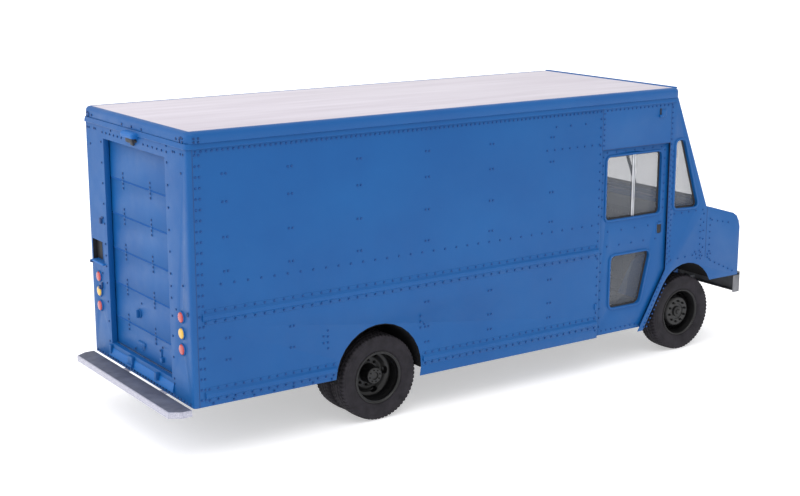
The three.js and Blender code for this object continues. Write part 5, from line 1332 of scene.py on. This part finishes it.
TICK = [(0.036, -0.0012), (0.044, -0.0012), (0.044, 0.0012), (0.036, 0.0012)]
NEEDLE = [(-0.01, -0.002), (0.034, -0.0006), (0.034, 0.0006), (-0.01, 0.002)]
panel = np.stack([np.full(20, FACE_BACK), *oblong(SEAT_Y, dial_z, 0.36, 0.15, 0.02, 4).T], 1)
piece("dial_panel", [raised(panel, BACKWARD, [(0, 0), (0, 0.006), (0.003, 0.008)])], SATIN_ALUMINIUM,
    "truck")
dial_rim = np.array([(0.048, 0.0), (0.048, 0.008), (0.051, 0.012), (0.056, 0.012), (0.058, 0.0)])
for dial_y in (SEAT_Y - 0.085, SEAT_Y + 0.085):
    dials.append(turned(dial_rim, (FACE_BACK - 0.008, dial_y, dial_z), BACKWARD, 36, closed=True))
    dial_discs.append(turned(np.array([(0.0001, 0.002), (0.0475, 0.002), (0.0475, 0.0)]),
        (FACE_BACK - 0.008, dial_y, dial_z), BACKWARD, 36))
    marks += [dial_mark(dial_y, turn, 0.0101, 0.0006, TICK) for turn in np.radians(np.arange(-120, 121,
        24))]
    marks.append(dial_mark(dial_y, -2.0, 0.0115, 0.001, NEEDLE))
piece("dial_rims", dials, CHROME, "truck")
piece("dial_faces", dial_discs, SEAL, "truck")
piece("dial_marks", marks, LINER, "truck")
switches = []
for index in range(6):
    middle = (SEAT_Y - 0.30 - index * 0.05, dial_z)
    outline = np.stack([np.full(20, FACE_BACK), *oblong(*middle, 0.026, 0.045, 0.005, 4).T], 1)
    switches.append(raised(outline, BACKWARD, [(0, 0), (0, 0.004), (0.002, 0.006)]))
piece("switch_row", switches, PLASTIC, "truck")

# %% [markdown]
# The pedals have ribbed rubber pads, and a ribbed rubber mat lies in front of the seat.

# %% Pads and mat
for pedal_name, body, wide in (("brake_pedal", "brake", 0.09), ("accelerator_pedal", "accelerator", 0.06)):
    low, high = corners_of(pedal_name)
    middle_y = (low[1] + high[1]) / 2
    pad_run = np.array((0.028, 0.0, 0.126)) / math.hypot(0.028, 0.126)
    pad_out = np.cross(ACROSS, pad_run) * -1
    pad_foot = np.array((low[0] + 0.0005, middle_y, low[2] + 0.006))
    ribs = []
    for step in np.linspace(0.01, 0.105, 6):
        corners = np.array([(-wide / 2 + 0.006, step), (wide / 2 - 0.006, step),
            (wide / 2 - 0.006, step + 0.009), (-wide / 2 + 0.006, step + 0.009)])
        outline = pad_foot + corners[:, :1] * ACROSS + corners[:, 1:] * pad_run
        ribs.append(raised(outline, pad_out, [(0, -0.002), (0, 0.003), (0.001, 0.004)]))
    piece(f"{pedal_name}_pad", ribs, SEAL, body)
FLOOR_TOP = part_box("seat_pedestal")[0][2]
mat_outline = np.stack([*oblong(SEAT_X + 0.5, SEAT_Y - 0.09, 0.42, 0.26, 0.03, 4).T,
    np.full(20, FLOOR_TOP)], 1)
mat_ribs = [raised(np.stack([*oblong(SEAT_X + 0.5, y, 0.38, 0.008, 0.003, 2).T,
                             np.full(12, FLOOR_TOP + 0.005)], 1),
                   UPWARD, [(0, 0), (0, 0.002), (0.001, 0.003)])
            for y in np.arange(SEAT_Y - 0.2, SEAT_Y + 0.03, 0.022)]
piece("floor_mat", [raised(mat_outline, UPWARD, [(0, 0), (0, 0.004), (0.002, 0.006)])] + mat_ribs, SEAL,
    "truck")

# %% [markdown]
# ## Under the truck
# Each spring is a pack of leaves, held down on its axle by two U-bolts. A U-bolt is a round
# section carried along a bent rod's line.

# %% U-bolts
BOLT_RADIUS = 0.007
bolts = []
for place in ("front", "rear"):
    for hand, side in SIDES.items():
        low, high = corners_of(f"{place}_spring_{hand}")
        middle = (low + high) / 2
        for shift in (-0.07, 0.07):
            path = [(0.0, low[1] - 0.011, low[2] - 0.02), (0.0, low[1] - 0.011, low[2] + 0.052),
                (0.0, high[1] + 0.011, low[2] + 0.052), (0.0, high[1] + 0.011, low[2] - 0.02)]
            flat = rounded([(y, z) for _, y, z in path], 0.012, 4)[2:-2]
            line = np.stack([np.full(len(flat), middle[0] + shift), flat[:, 0], flat[:, 1]], 1)
            bolts.append(swept(line, circle(BOLT_RADIUS, 8), (1.0, 0.0, 0.0), closed=False))
piece("spring_u_bolts", bolts, BLACK_STEEL, "truck")
# %% [markdown]
# The truck stands on a plain pale floor, wide enough to fill every view. It gives off a little
# light of its own, as white paper lit from all round seems to.

# %% The pale floor
FLOOR_HALF = 140
FLOOR_GLOW = 0.45
ground_mesh = bpy.data.meshes.new("ground")
floor_corners = [(x * FLOOR_HALF, y * FLOOR_HALF, 0) for x, y in ((-1, -1), (1, -1), (1, 1), (-1, 1))]
ground_mesh.from_pydata(floor_corners, [], [(0, 1, 2, 3)])
ground = bpy.data.objects.new("ground", ground_mesh)
scene.collection.objects.link(ground)
pale_floor, _, floor_shader = material("pale_floor", "e6e6e9", 0.8)
floor_shader.inputs["Emission Color"].default_value = WHITE_LIGHT
floor_shader.inputs["Emission Strength"].default_value = FLOOR_GLOW
ground_mesh.materials.append(pale_floor)
print("floor half width", FLOOR_HALF)
